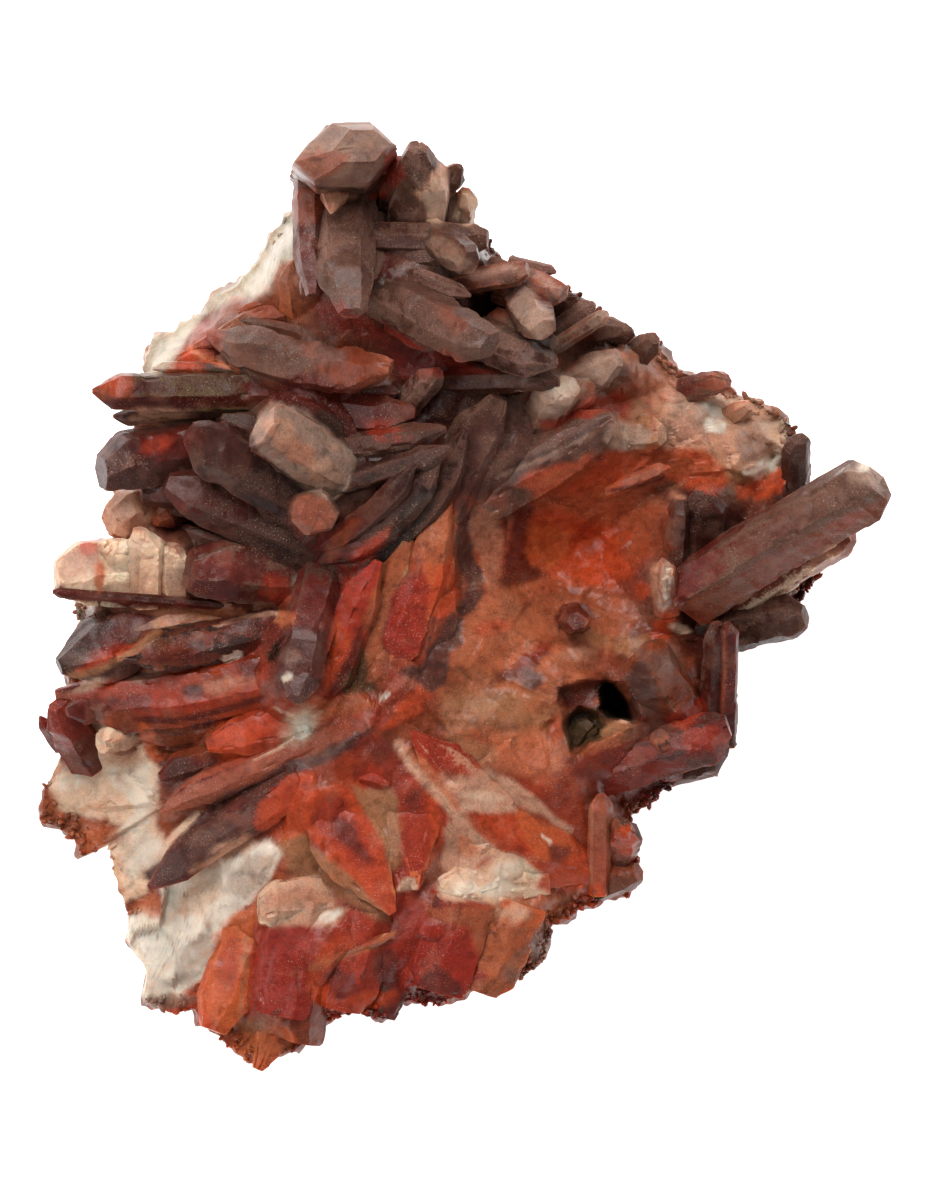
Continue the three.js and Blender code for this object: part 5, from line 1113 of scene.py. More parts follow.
SOUTH_PAINT = [
    ("field", "tan", 0.85, 0.6, [(-20.4, -28.8), (-17.6, -31), (-14, -34), (-11, -37), (-8.6, -40),
     (-12, -39.4), (-15, -37), (-19, -34.4), (-22.4, -33.6), (-22.8, -29.6)]),
    ("field", "tan", 0.9, 0.6, [(-14.4, -22.6), (-9, -23.2), (-7.6, -26), (-7.6, -33), (-9.4, -34),
     (-10.6, -30), (-12.4, -26.6)]),
    ("field", "ember", 0.8, 0.5, [(-25.6, -22.4), (-21.6, -21.2), (-18.4, -21.2), (-18.4, -23.4),
     (-19.6, -26), (-20, -28.6), (-23, -29.6), (-25.8, -28.4)]),
    ("field", "ember", 0.9, 0.35, [(-18.6, -23.4), (-16, -22.8), (-13.6, -24.4), (-12, -27), (-10.2, -30),
     (-9.2, -34), (-8.4, -38), (-9.2, -39.2), (-12, -36.6), (-15, -33.2), (-18, -30.8), (-20, -28),
     (-19.8, -25)]),
    ("field", "brick", 0.9, 0.5, [(-18, -24.6), (-15.6, -24.2), (-13.4, -27), (-11, -31), (-10.4, -34.2),
     (-13, -33.2), (-16, -30.8), (-18.8, -27.6)]),
    ("field", "garnet", 0.85, 0.5, [(-17, -26.6), (-15, -26.8), (-12.4, -30), (-11.2, -32.6),
     (-13.6, -31.8), (-16, -29.2)]),
    ("field", "ember", 0.9, 0.35, [(-5.4, -22.2), (-3.6, -24), (-2.6, -26.6), (-2.4, -30), (-3.4, -32.2),
     (-5.4, -33.8), (-5, -30), (-4.6, -26)]),
    ("field", "brick", 0.95, 0.35, [(-7.8, -22), (-6, -21.4), (-4.6, -24), (-4.4, -28), (-4, -30.6),
     (-5, -32.8), (-6.6, -33.2), (-7.8, -30), (-8, -26)]),
    ("spot", "garnet", 0.6, 0.6, (-6.4, -25, 1, 1.6, 0)),
    ("field", "shell", 0.8, 0.4, [(-2, -27.2), (0.8, -29), (3.2, -31.4), (1, -33.6), (-1.6, -34.2),
     (-3, -33)]),
    ("spot", "peach", 0.7, 0.7, (0.4, -30.6, 1.6, 1.4, 0)),
    ("field", "shell", 0.85, 0.7, [(-3.8, -22.4), (0, -21.8), (3, -21.2), (6, -22.6), (8.6, -24.8),
     (10.4, -27), (6.6, -25.7), (1, -26), (-1.4, -25.2), (-3.2, -24)]),
    ("spot", "cream", 0.7, 0.6, (2.6, -24.4, 3, 0.7, -5)),
    ("field", "shell", 0.8, 0.6, [(-2.2, -26.2), (0.2, -26.4), (2, -28.2), (3.8, -30.5), (1.4, -30.2),
     (-0.8, -28.6)]),
    ("field", "ember", 0.9, 0.8, [(0.6, -26.5), (3.4, -26.1), (6.8, -26), (8, -28), (9.4, -32.4),
     (7.4, -31.4), (5, -30.5), (2.8, -30), (1.2, -28.4)]),
    ("field", "amber", 0.6, 0.6, [(6.4, -25.9), (10, -27.4), (13, -29.4), (14.4, -31), (12, -32.6),
     (9.4, -32.8), (7.6, -30)]),
    # Painted highlight: a short milk stroke on the shuttle.
    ("vein", "milk", 0.8, 0.3, [(9.8, -29.3), (10.8, -30.2)]),
    ("field", "garnet", 0.8, 0.5, [(10.4, -30.4), (13, -31), (12.8, -33), (10.6, -32.8)]),
    ("field", "ember", 0.9, 0.5, [(9, -33.2), (12, -32.9), (15.6, -31), (16.4, -35), (12.6, -36.8),
     (9, -36), (9.6, -34.4)]),
    ("vein", "peach", 0.85, 0.9, [(-7.4, -18.6), (-5.2, -20.2), (-3.6, -22.4), (-1.6, -25.2)]),
    ("vein", "shell", 0.9, 0.85, [(-8.1, -17.9), (-6.8, -20.3), (-2.9, -24.5), (0.4, -28.7), (3.4, -31.2),
     (6.2, -32.6)]),
    ("vein", "shell", 0.85, 0.6, [(3.2, -21.8), (6, -22.7), (9, -25), (11, -27.2), (13.2, -28.6)]),
    ("vein", "cream", 0.6, 0.8, [(0, -25.6), (3, -26), (6, -25.8)]),
    ("field", "cream", 0.9, 0.6, [(-4, -37), (-3, -35.2), (-1.4, -34.1), (1.4, -33.9), (3.6, -32.3),
     (6, -31.3), (8.2, -32.3), (9.4, -34), (8.6, -35.3), (7.4, -36.5), (4.6, -37.9), (1, -37.3),
     (-2, -37.6)]),
    ("spot", "milk", 0.5, 1, (0, -35.8, 1.8, 0.9, 0)), ("spot", "milk", 0.5, 1, (4, -36, 2.4, 1, 0)),
    ("spot", "milk", 0.4, 1, (5.6, -33.4, 2, 1.2, 10)),
    ("field", "clay", 0.85, 0.6, [(-4.2, -38), (1, -37.7), (4.4, -38.3), (4.6, -40), (8.4, -40.6),
     (6, -44), (2.6, -46), (1.2, -43), (0.6, -41), (-1.4, -40.2), (-4, -40)]),
    ("field", "shell", 0.9, 0.5, [(4, -38.4), (6.4, -37.3), (8.2, -38.6), (8.2, -39.8), (6, -40.2),
     (4.2, -39.5)]),
    ("field", "blood", 0.85, 0.5, [(-5.6, -40), (-1, -40.2), (0.8, -41.4), (1.4, -45), (3, -46.8),
     (0.6, -48.2), (-1.4, -46), (-3.6, -45.6), (-7, -48.6), (-8.2, -46), (-7.2, -42)]),
    ("field", "garnet", 0.9, 0.3, [(-7.2, -48.8), (-4, -46), (-1.6, -46), (-0.2, -48.6), (-3, -49.8),
     (-6, -50)]),
    ("field", "brick", 0.8, 0.5, [(-16.8, -38.4), (-13, -38.2), (-10.4, -40.4), (-11.6, -43.4),
     (-15, -43.2), (-16.8, -41)]),
    ("spot", "ember", 0.6, 0.8, (-15.4, -43, 2.4, 1.4, 20)),
    ("vein", "clay", 0.85, 0.55, [(-19.4, -46), (-15, -44.2), (-11, -43), (-8.6, -41.4)]),
    ("field", "garnet", 0.85, 0.4, [(-11.4, -44), (-8.8, -43.2), (-8.4, -47), (-10.6, -47.8)]),
    ("field", "garnet", 0.85, 0.5, [(-16, -45.6), (-13.6, -46.4), (-13.2, -49), (-16, -49.6),
     (-17.4, -47.6)]),
    ("field", "ember", 0.8, 0.5, [(-19, -46.4), (-16.8, -47.8), (-16.8, -51), (-19.6, -49.4)]),
    ("spot", "ember", 0.7, 0.8, (-11.6, -50, 3, 1.4, 10)),
    ("field", "shell", 0.85, 0.5, [(-24.8, -37), (-24.2, -35.4), (-21, -34.5), (-18.6, -34.5),
     (-16.4, -36.4), (-15.8, -37.8), (-14.4, -38.2), (-15.2, -39.8), (-17, -40.6), (-24, -40.8),
     (-25.2, -39)]),
    ("spot", "blush", 0.8, 0.8, (-20.6, -37, 4, 1.5, 0)),
    ("spot", "milk", 0.8, 0.4, (-16.8, -39.2, 1.6, 0.8, 20)),
    ("field", "brick", 0.9, 0.3, [(-13.6, -21.5), (-11.4, -20), (-10, -21), (-10.2, -23.3), (-13, -23.6)]),
    ("field", "cream", 0.8, 0.3, [(-8.8, -36.4), (-7.8, -34.5), (-6, -34.3), (-5.6, -35.9),
     (-7.6, -36.3)]),
    ("field", "ash", 0.8, 0.6, [(4, -47.2), (6, -44.6), (8, -42.2), (10.4, -39.8), (11, -42), (9.2, -45.8),
     (6.6, -47.8)]),
    ("spot", "clay", 0.7, 0.5, (7.4, -45, 1.4, 1, 40)),
    ("field", "rose", 0.7, 0.6, [(-38.2, -27.8), (-37.8, -24.8), (-33, -23), (-28, -20.6), (-22, -18),
     (-16, -14.8), (-12, -13.8), (-11.2, -16), (-17, -18.8), (-22, -20.2), (-26, -22.8), (-30, -24.6),
     (-33, -26.6), (-36, -27.2)]),
    ("field", "plum", 0.95, 0.3, [(-38.8, -36.2), (-39.9, -34), (-37, -32), (-34.6, -29), (-33, -26.6),
     (-30, -24.4), (-26, -22.6), (-22, -20), (-18, -19), (-14, -16.6), (-11.2, -15.8), (-14, -18.8),
     (-18, -20.6), (-22, -21.8), (-25, -24.6), (-27, -27.8), (-29.4, -30.2), (-32.6, -32.2),
     (-35, -34.2)]),
    ("spot", "garnet", 0.6, 0.7, (-28, -26.6, 2.4, 1.6, 40)),
    ("vein", "cream", 0.8, 0.6, [(-38.2, -32.2), (-36, -29.2), (-33.2, -26.6)]),
    ("field", "shell", 0.7, 0.5, [(-34.2, -33.8), (-30.6, -31), (-27, -28.9), (-25.4, -30.2), (-28, -31.8),
     (-31, -33.2)]),
    ("field", "ember", 0.95, 0.5, [(-29.8, -19), (-28.4, -16.2), (-26.4, -15.2), (-25.6, -17),
     (-26.8, -19.2), (-28.6, -20)]),
    ("field", "amber", 0.8, 0.6, [(-31, -41.6), (-28.4, -39), (-26.2, -38.6), (-26.4, -43), (-27.4, -49),
     (-28, -52.4), (-30.4, -54), (-33.2, -49.8), (-31.6, -45.6)]),
    ("spot", "brick", 0.7, 1.2, (-29.4, -45.6, 1.4, 4, -10)),
    ("field", "brick", 0.8, 0.5, [(-27, -44), (-25.6, -41), (-25, -45), (-25.4, -50), (-26.8, -50.4)]),
    ("vein", "tan", 0.7, 0.4, [(-27, -42), (-27.3, -47), (-27.8, -52)]),
    ("field", "blood", 0.85, 0.4, [(-25.8, -40.8), (-20, -40.4), (-17.4, -41), (-18.8, -44.6), (-20, -47),
     (-22, -48), (-23, -51), (-26.6, -51.6), (-26.8, -46)]),
    ("field", "blood", 0.85, 0.4, [(-22.8, -49.6), (-21, -48.4), (-19.2, -49.2), (-19, -51.4),
     (-20.8, -52.8), (-22.8, -51.6)]),
    ("field", "tan", 0.7, 0.5, [(-27.4, -52.4), (-24.6, -52.2), (-23.8, -54.4), (-25.2, -56.8),
     (-27.2, -56.6)]),
    ("field", "amber", 0.7, 0.5, [(-30.2, -53.8), (-27, -54), (-23, -52.8), (-20.2, -54.4), (-24, -57.6),
     (-27, -59.2), (-29.4, -56.4)]),
    # Painted glint: the same white star of light, laid again over the south crystals that cover it.
    ("spot", "cream", 0.6, 1.2, (-20.4, -16.2, 2.4, 1.7, 30)),
    ("spot", "milk", 0.95, 0.8, (-20, -15.8, 1.3, 1.5, 0)),
    ("vein", "cream", 0.7, 0.25, [(-20.2, -16.4), (-23, -18.4), (-26.2, -20)]),
]
SOUTH_SEED = 1 + len(CROWN + FAN + WEST + HEART + EAST)
south = crystal_group("south_crystals", SOUTH, SOUTH_SEED, SOUTH_PAINT, 0)
settle(south, crystal_finish)


# ------------------------------------------------------------------- the plate
# The broken slab that everything grows from: massive quartz, milky at its lower left and upper left,
# stained from peach to dark red elsewhere, swollen where the crystals are thickest, with a crumbling rim
# and a flat broken back.
PLATE_SQUARES = 278  # squares across its top
RIM_RISE = 9.0  # height of its top where no swell lifts it
RIPPLE = 0.8  # height of the long waves on its top
SINK = 0.6  # how far the whole top is lowered to make room for its splinters
LOWEST = 2.4  # its top is nowhere lower than this
RIM_DROP = 0.3  # share of the height lost between the shoulder and the rim
SHOULDER_AT = 0.8  # where that drop starts, as a share of the way out
BACK_REACH = 0.8  # size of the flat back, as a share of the outline
SIDE_ROWS = 16  # rows of squares down the broken side
MIDDLE = (-2.0, -2.0)  # the outline is seen whole from here
OUTLINE = np.array([
    (42, 0.4), (44.5, 4), (46, 7), (42, 14), (42.4, 18.5), (40, 22.6), (36.4, 25.2), (31.8, 26.8),
    (27, 28.4), (24, 32), (20, 33), (17, 35.6), (11.8, 38.6), (5, 41.8), (2, 45.8), (-1.6, 48.8), (-4, 52),
    (-9, 52.6), (-15, 52), (-20.4, 50), (-23.8, 46.2), (-26, 42), (-28.2, 38.8), (-33, 35.8),
    (-38.2, 32.2), (-40.2, 29), (-39, 25.5), (-40.8, 22), (-40, 17), (-43.3, 12), (-43, 8), (-46.5, 5),
    (-48.4, -1), (-47.4, -4), (-49.4, -8), (-49, -12), (-50, -19.4), (-52.4, -23.6), (-53.2, -27.4),
    (-50, -29.2), (-47.6, -32), (-44.4, -30.6), (-43.2, -36.5), (-41.3, -38.5), (-41.8, -42),
    (-39.8, -45.5), (-39.2, -49.6), (-36.2, -51.2), (-33.6, -50.8), (-30.8, -54.3), (-27, -57.8),
    (-24, -56.6), (-19.5, -55), (-17, -52.6), (-13, -51.2), (-10, -51.8), (-8.2, -50.2), (-3, -49.4),
    (2.5, -47.8), (6.6, -46.6), (10, -44), (10.8, -40.4), (14, -38.4), (20.3, -36.6), (21.6, -34.6),
    (21.4, -30), (20.6, -26.6), (24, -24.6), (27, -21.6), (31, -21.6), (33, -18.6), (32.8, -13),
    (33.2, -5.8), (38, -4.4),
])
# Swells and hollows of the top: x, y, radius, height.
SWELLS = [
    (-11, 43, 11, 17), (3, 37, 11, 13), (-22, 27, 13, 10), (-12, 14, 14, 11), (-30, 8, 12, 4),
    (4, 18, 12, 9), (22, 23, 13, 8), (33, 18, 8, 3), (-8, -4, 13, 8), (8, -10, 13, 7), (-30, -9, 12, 3.5),
    (-15, -20, 11, 6), (-2, -27, 12, 5), (-14, -44, 13, 6), (3, -42, 8, 4), (24, -12, 10, 5),
    (15, -22, 9, 5), (14, 8, 8, -4), (-38, -30, 12, 1.5), (-46, -26, 7, -3), (-27, -27, 10, 3.5),
]
# How high the quartz stands around the crystals of each group, in crystal widths from their axes.
BEDS = [(CROWN, -0.8), (FAN, -0.45), (WEST, -0.25), (HEART, 0.08), (EAST, -0.4), (SOUTH, 0.0)]
BED_END = 0.8  # share of a crystal's length that the bed follows
BED_SLOPE = 1.3  # how steeply the bed falls away from a crystal
BED_CLIMB = 0.6  # how much of a crystal's rise the bed follows; it follows all of a fall
STEEP = 0.8  # crystals that stand more upright than this, as the upward share of their axis, have no bed
# Deep dark pockets: depth and corners.
POCKETS = [
    (9, [(17, -11.6), (17.6, -10.2), (18.8, -10.4), (20.4, -13), (21, -15), (18.8, -14.8), (17.2, -13.6)]),
    (2.4, [(11.8, -11.4), (14.2, -10.2), (17.6, -9.9), (20, -10.6), (21.4, -13), (22, -15.2),
     (20.8, -15.8), (18, -17.2), (13.2, -18.9), (12.3, -15.4)]),
    (3.4, [(12.6, -14.6), (14.6, -13.6), (16.6, -14.2), (17.6, -16), (17, -17.4), (13.4, -18.6)]),
    (9, [(0.6, 38), (4.8, 38.2), (5.2, 34.8), (3.6, 33.8), (0.8, 34.8)]),
    (7, [(-35.4, 10.9), (-33, 11.4), (-30.4, 10.5), (-29.2, 9.4), (-33, 9.3), (-35.2, 9.8)]),
]
# Where the stone broke rough instead of growing smooth: x, y, radii, turn in degrees, roughness.
BREAKS = [
    (-38, -24, 13, 8, -25, 1.0),
    (-35, -41, 8, 12, 10, 1.0),
    (-46, -26, 8, 6, 0, 1.2),
    (-34, 34, 8, 4, 30, 0.8),
    (-25, 42, 4, 7, -25, 0.8),
    (31, 21, 12, 7, -20, 0.9),
    (41, 6, 7, 8, 0, 1.0),
    (8, -43, 6, 5, 20, 0.9),
    (16, -36, 8, 4, 15, 1.0),
    (-38, -50, 5, 3, 0, 1.2),
    (28, -21, 8, 3, 15, 0.8),
    (-20, -54, 6, 3, 0, 0.8),
]
ALL_PAINT = CROWN_PAINT + FAN_PAINT + WEST_PAINT + HEART_PAINT + EAST_PAINT + SOUTH_PAINT
MILKY_PAINT = [
    ("field", "cream", 1, 0.5, [(-50.8, -20), (-47.6, -20.2), (-45.6, -16.4), (-44, -14.2), (-42.2, -13.8),
     (-40.4, -17), (-39.4, -20), (-37.8, -21), (-38.2, -25), (-38.2, -28), (-36.4, -31.6), (-38, -33),
     (-39.6, -36.6), (-42.8, -38), (-44, -31.6), (-45, -30.2), (-42.6, -28), (-46, -27.2), (-50.6, -26.4),
     (-52, -23)]),
    ("field", "ice", 0.8, 0.7, [(-44.4, -21), (-39.4, -20.6), (-38.6, -24), (-38.8, -28), (-37.4, -31),
     (-41.4, -35.4), (-43, -32), (-43, -28), (-41, -26.4), (-43, -24)]),
    ("field", "milk", 0.8, 0.7, [(-50.4, -20.4), (-47.4, -20.6), (-47, -23), (-50.8, -24)]),
    ("field", "shell", 0.6, 0.5, [(-46, -17.6), (-43.4, -14.2), (-41.4, -16), (-40, -20), (-44, -20.4),
     (-46, -19.6)]),
    ("field", "milk", 0.9, 0.5, [(-37.8, -36), (-34.6, -34), (-30.6, -32.6), (-27, -30.6), (-24, -29.8),
     (-22.4, -31.6), (-24.4, -34.6), (-26, -36.6), (-29, -39.4), (-31, -43.6), (-32.4, -47.4),
     (-35.4, -49.4), (-40.4, -50), (-41, -45), (-42.6, -42), (-41.8, -39.2), (-39.6, -38.4),
     (-37.6, -39.4)]),
    ("field", "cream", 0.8, 1.2, [(-35.4, -37.6), (-34, -34.4), (-30.4, -33.4), (-29.6, -36.6),
     (-33, -38.6), (-37, -40)]),
    ("field", "milk", 0.9, 0.7, [(-42, -42), (-40.6, -39.4), (-38, -40), (-37, -43.4), (-35, -46),
     (-36, -49), (-40.4, -49.6), (-40.6, -45)]),
    ("field", "smoke", 0.6, 0.7, [(-29.6, -34), (-25.4, -31.4), (-23, -31.4), (-25, -35.4), (-27.4, -37.4),
     (-29.6, -36.4)]),
    ("spot", "smoke", 0.8, 0.8, (-37, -50, 4, 1, 5)),
    ("field", "clay", 0.7, 0.8, [(-54, -27.6), (-53, -23.8), (-50.8, -24), (-50, -26.4), (-46, -27.8),
     (-43, -28.6), (-42, -29.6), (-44.4, -31), (-48, -31.4), (-50.6, -29.4)]),
    ("spot", "amber", 0.7, 0.8, (-46.4, -29.4, 2.2, 1.1, 0)),
    ("field", "peach", 0.8, 0.5, [(-41.4, -38.6), (-38.6, -36), (-37.4, -37), (-37.8, -39.6), (-40, -39)]),
    ("field", "cream", 0.8, 0.6, [(-44.4, -31), (-43.2, -31), (-42.4, -34), (-42, -37.4), (-43.4, -37.6)]),
]
# The stains: x, y, radii, turn in degrees, colour, strength. Each lies over the ones before it.
STAINS = [
    (2, -8, 24, 22, 0, "clay", 1.0),
    (-12, 26, 22, 13, -12, "wine", 1.0),
    (-28, 16, 14, 12, 0, "wine", 0.9),
    (0, 40, 18, 9, -20, "wine", 0.9),
    (-33, -8, 18, 10, 5, "brick", 0.9),
    (-14, -46, 20, 10, 0, "brick", 1.0),
    (-26, -56, 6, 4, 0, "rust", 0.9),
    (5, -42, 8, 7, 20, "rust", 0.8),
    (16, 9, 14, 9, 0, "ember", 1.0),
    (29, 8, 8, 8, 0, "garnet", 0.9),
    (30, 21, 13, 7, -18, "tan", 1.0),
    (20, 27.5, 5, 3.6, 0, "rose", 0.8),
    (7, -6, 8, 8, 0, "peach", 0.7),
    (3, -15, 7, 7, 20, "tan", 0.75),
    (11, -21, 7, 5, 0, "clay", 0.6),
    (20, -3, 8, 5, 0, "rose", 0.6),
    (26, -11, 8, 7, 0, "garnet", 0.9),
    (25, -20, 10, 4, 15, "garnet", 0.9),
    (-8, -27, 12, 9, 0, "clay", 0.8),
    (-45, -4, 5, 5, 0, "milk", 0.7),
    (-34, 34, 9, 3.6, 32, "ice", 1.0),
    (-25, 42.4, 3.6, 7.5, -28, "ice", 1.0),
    (41, 8, 5, 6, 0, "rust", 0.7),
    (45, 6, 3, 3, 0, "cream", 0.5),
    (16, -37, 9, 3, 15, "bark", 0.8),
    (9, -45, 5, 4, 30, "umber", 0.9),
    (-19, -55.5, 5, 2, 10, "umber", 0.8),
    (40, 20, 4, 4, 0, "umber", 0.7),
    (24, 31, 7, 2.4, -30, "bark", 0.7),
]


def points_field(x, y, size, seed, turn=0.0, stretch=1.0):
    """Crystal points side by side: each square of a turned, stretched grid holds one six-sided pyramid at
    a random place, turn and height, and the ground is the highest of those around; 1 is a full pyramid, 0
    the ground."""
    u = (x * math.cos(turn) + y * math.sin(turn)) / (size * stretch)
    v = (y * math.cos(turn) - x * math.sin(turn)) / size
    best = np.full(np.shape(x), -9.0)
    for step in itertools.product((-1, 0, 1), repeat=2):
        i = np.floor(u) + step[0]
        j = np.floor(v) + step[1]
        key = i * 1.31 + j * 7.77 + seed
        away_u = (u - i - chance(key, 1)) * stretch
        away_v = v - j - chance(key, 2)
        spin = chance(key, 3) * math.pi / 3
        turns = [spin + a for a in (0, math.pi / 3, -math.pi / 3)]
        sides = [np.abs(away_u * np.cos(a) + away_v * np.sin(a)) for a in turns]
        best = np.maximum(best, 0.55 + 0.45 * chance(key, 4) - np.maximum.reduce(sides))
    return best


def reach(angles):
    """How far the outline lies from the middle in each direction: the ray's crossing with the outline's
    edges."""
    start = OUTLINE - MIDDLE
    edge = np.roll(start, -1, axis=0) - start
    dx = np.cos(angles)[..., None]
    dy = np.sin(angles)[..., None]
    cross = dx * edge[:, 1] - dy * edge[:, 0]
    cross = np.where(np.abs(cross) < 1e-12, 1e-12, cross)
    along = (start[:, 0] * edge[:, 1] - start[:, 1] * edge[:, 0]) / cross
    share = (start[:, 0] * dy - start[:, 1] * dx) / cross
    hit = (along > 0) & (share >= -1e-9) & (share <= 1 + 1e-9)
    return np.where(hit, along, 0).max(axis=-1)


def beside(x, y, row):
    """For each point, the share of the way along a crystal where it lies and its distance from the axis
    there, both seen from above."""
    root, tip = np.array(row[1], float), np.array(row[2], float)
    run = tip - root
    share = ((x - root[0]) * run[0] + (y - root[1]) * run[1]) / (run[0] ** 2 + run[1] ** 2 + 1e-6)
    share = np.clip(share, 0, BED_END)
    return share, np.hypot(x - root[0] - share * run[0], y - root[1] - share * run[1])


def roughness(x, y):
    """How rough the stone broke at each point: the sum of the breaks there, each fading out across its
    edge."""
    rough = [s * smooth(1.3, 0.6, blot(x, y, bx, by, a, b, t)) for bx, by, a, b, t, s in BREAKS]
    return sum(rough)


def plate_top(x, y, out):
    """Height of the plate's top, where out is the share of the way to the rim: rim height and swells,
    raised into beds along the crystals, sunk at the rim and in the pockets, with crystal points where it
    broke and low blades where it grew smooth."""
    swell = sum(h * np.exp(-((x - sx) ** 2 + (y - sy) ** 2) / r**2) for sx, sy, r, h in SWELLS)
    ripple = RIPPLE * np.sin(0.42 * x + 0.9 * np.sin(0.23 * y)) * np.sin(0.37 * y + 1.3)
    ground = np.stack([x, y, 0 * x], axis=-1)
    height = (RIM_RISE + swell + ripple - SINK) * (1 - RIM_DROP * smooth(SHOULDER_AT, 1, out))
    fade = smooth(0.99, 0.93, out)
    for rows, level in BEDS:
        for row in (row for row in rows if axes(row[1], row[2])[1][2] < STEEP):
            share, away = beside(x, y, row)
            rise = row[2][2] - row[1][2]
            bed = row[1][2] + share * min(rise, BED_CLIMB * rise) + level * row[3]
            bed = bed - BED_SLOPE * np.maximum(0, away - 0.35 * row[3])
            height = np.maximum(height, height + (bed - height) * fade)
    broken = np.clip(roughness(x, y), 0, 1)
    crumbly = smooth(0.9, 1.0, out) * (1 - 0.85 * broken)
    grown = shattered(x, y, 5.4, 11, 0.16, 0.4)[0] + 0.5 * points_field(x, y, 4.6, 3, 0.9, 2.2)
    splinters = shattered(x, y, 5.2, 5, 0.2, 0.7)[0] + shattered(x, y, 2.2, 7, 0.2, 0.25)[0]
    lumps = 1.6 * points_field(x, y, 4.2, 5) + 1.2 * points_field(x, y, 1.7, 7) + rugged(ground, 2.4, 8)
    skin = (1 - broken) * grown + broken * splinters
    height = height + (1 - crumbly) * skin + crumbly * lumps + 0.2 * rugged(ground, 3.0, 4)
    for number, (kind, _, _, _, shape) in enumerate(ALL_PAINT):
        if kind == "field":
            away = outside(x, y, shape, True)
            middle = np.mean(shape, axis=0)
            luck = chance(7.3 * number, np.arange(3)) - 0.5
            lift = 0.5 * luck[0] + 0.16 * (luck[1] * (x - middle[0]) + luck[2] * (y - middle[1]))
            height = height + np.clip(lift, -0.5, 0.5) * smooth(0.5, -0.5, away)
    for depth, shape in POCKETS:
        away = outside(x, y, shape, True) + 1.1 * haze(ground, 1.5, 6)
        height = height - depth * smooth(0.35, -0.75, away)
    return np.maximum(height, LOWEST)


def stained(points):
    """Colour of the plate at each point: the stains painted one over the other, their edges frayed by
    haze, then the colours of the crystals bled into the quartz beside them and dimmed there as painted
    shade."""
    x, y = points[..., 0], points[..., 1]
    flat = points * (1, 1, 0.3)
    fray = 0.9 * rugged(flat, 5.0, 21)
    colour = np.broadcast_to(linear("rust"), points.shape)
    for sx, sy, a, b, turn, name, strength in STAINS:
        share = strength * smooth(1.3, 0.7, blot(x, y, sx, sy, a, b, turn) + fray)
        colour = colour + share[..., None] * (linear(name) - colour)
    for rows, _ in BEDS:
        for row in rows:
            share, away = beside(x, y, row)
            bled = linear(row[10]) + share[..., None] * (linear(row[11]) - linear(row[10]))
            weight = 0.8 * smooth(1.0, 0.45, away / row[3] + 0.25 * fray)
            # The bled colours are dimmed to four fifths: painted shade in the hollows beside the crystals,
            # over their real stain.
            colour = colour + weight[..., None] * (bled * 0.8 - colour)
    return colour * (1 + 0.4 * rugged(flat, 2.2, 22))[..., None]


def plate_mesh():
    """The plate as one closed skin: a square grid drawn out to the outline for the top, rows down the
    broken side, and a fan across the flat back. Each part is worked out as whole arrays of points."""
    n = PLATE_SQUARES
    a, b = np.meshgrid(np.linspace(-1, 1, n + 1), np.linspace(-1, 1, n + 1), indexing="ij")
    wide = np.abs(a) >= np.abs(b)
    out = np.maximum(np.abs(a), np.abs(b))
    ratio = np.where(wide, b, a) / np.where(out == 0, 1, np.where(wide, a, b))
    angle = np.where(wide, ratio * math.pi / 4, math.pi / 2 - ratio * math.pi / 4)
    angle = angle + math.pi * (np.where(wide, a, b) < 0)
    rim_step = np.stack([np.cos(angle), np.sin(angle), 0 * angle], axis=-1)
    ragged = 0.03 * rugged(rim_step * 30, 2.6, 12) + 0.012 * haze(rim_step * 60, 1.0, 13)
    distance = out * reach(angle) * (1 + ragged * smooth(0.6, 1, out))
    x = MIDDLE[0] + distance * np.cos(angle)
    y = MIDDLE[1] + distance * np.sin(angle)
    top = np.stack([x, y, plate_top(x, y, out)], axis=-1)
    index = np.arange((n + 1) ** 2).reshape(n + 1, n + 1)
    corners = [index[:-1, :-1], index[1:, :-1], index[1:, 1:], index[:-1, 1:]]
    faces = [np.stack(corners, axis=-1).reshape(-1, 4)]
    rim = np.concatenate([index[:-1, 0], index[-1, :-1], index[:0:-1, -1], index[0, :0:-1]])
    edge = top.reshape(-1, 3)[rim]
    fall = np.linspace(0, 1, SIDE_ROWS + 1)[1:, None]
    bulge = np.interp(fall, [0, 0.12, 0.4, 0.8, 1], [1, 1.004, 1.0, 0.93, BACK_REACH])
    side_x = MIDDLE[0] + (edge[:, 0] - MIDDLE[0]) * bulge
    side_y = MIDDLE[1] + (edge[:, 1] - MIDDLE[1]) * bulge
    side = np.stack([side_x, side_y, edge[:, 2] * (1 - fall)], axis=-1)
    chip = 1 + (0.05 * rugged(side, 4.0, 14) + 0.02 * haze(side, 1.2, 15)) * np.sin(math.pi * fall**0.8)
    side[..., 0] = MIDDLE[0] + (side[..., 0] - MIDDLE[0]) * chip
    side[..., 1] = MIDDLE[1] + (side[..., 1] - MIDDLE[1]) * chip
    ring = np.arange(len(rim)) + (n + 1) ** 2
    rows = np.concatenate([rim[None], ring + len(rim) * np.arange(SIDE_ROWS)[:, None]])
    turned = np.roll(rows, -1, axis=1)
    faces.append(np.stack([rows[:-1], rows[1:], turned[1:], turned[:-1]], axis=-1).reshape(-1, 4))
    centre = np.full(len(rim), (n + 1) ** 2 + SIDE_ROWS * len(rim))
    faces.append(np.stack([rows[-1], centre, turned[-1], turned[-1]], axis=-1))
    points = np.concatenate([top.reshape(-1, 3), side.reshape(-1, 3), [(*MIDDLE, 0.0)]])
    return points, np.concatenate(faces)


PLATE_VEIL = 0.25  # how much of the plate the veil covers where nothing is painted
plate_points, plate_faces = plate_mesh()
plate_tint, plate_cover = stained(plate_points), np.full(len(plate_points), PLATE_VEIL)
plate_tint, plate_cover = painted(plate_points, plate_tint, plate_cover, MILKY_PAINT + ALL_PAINT)
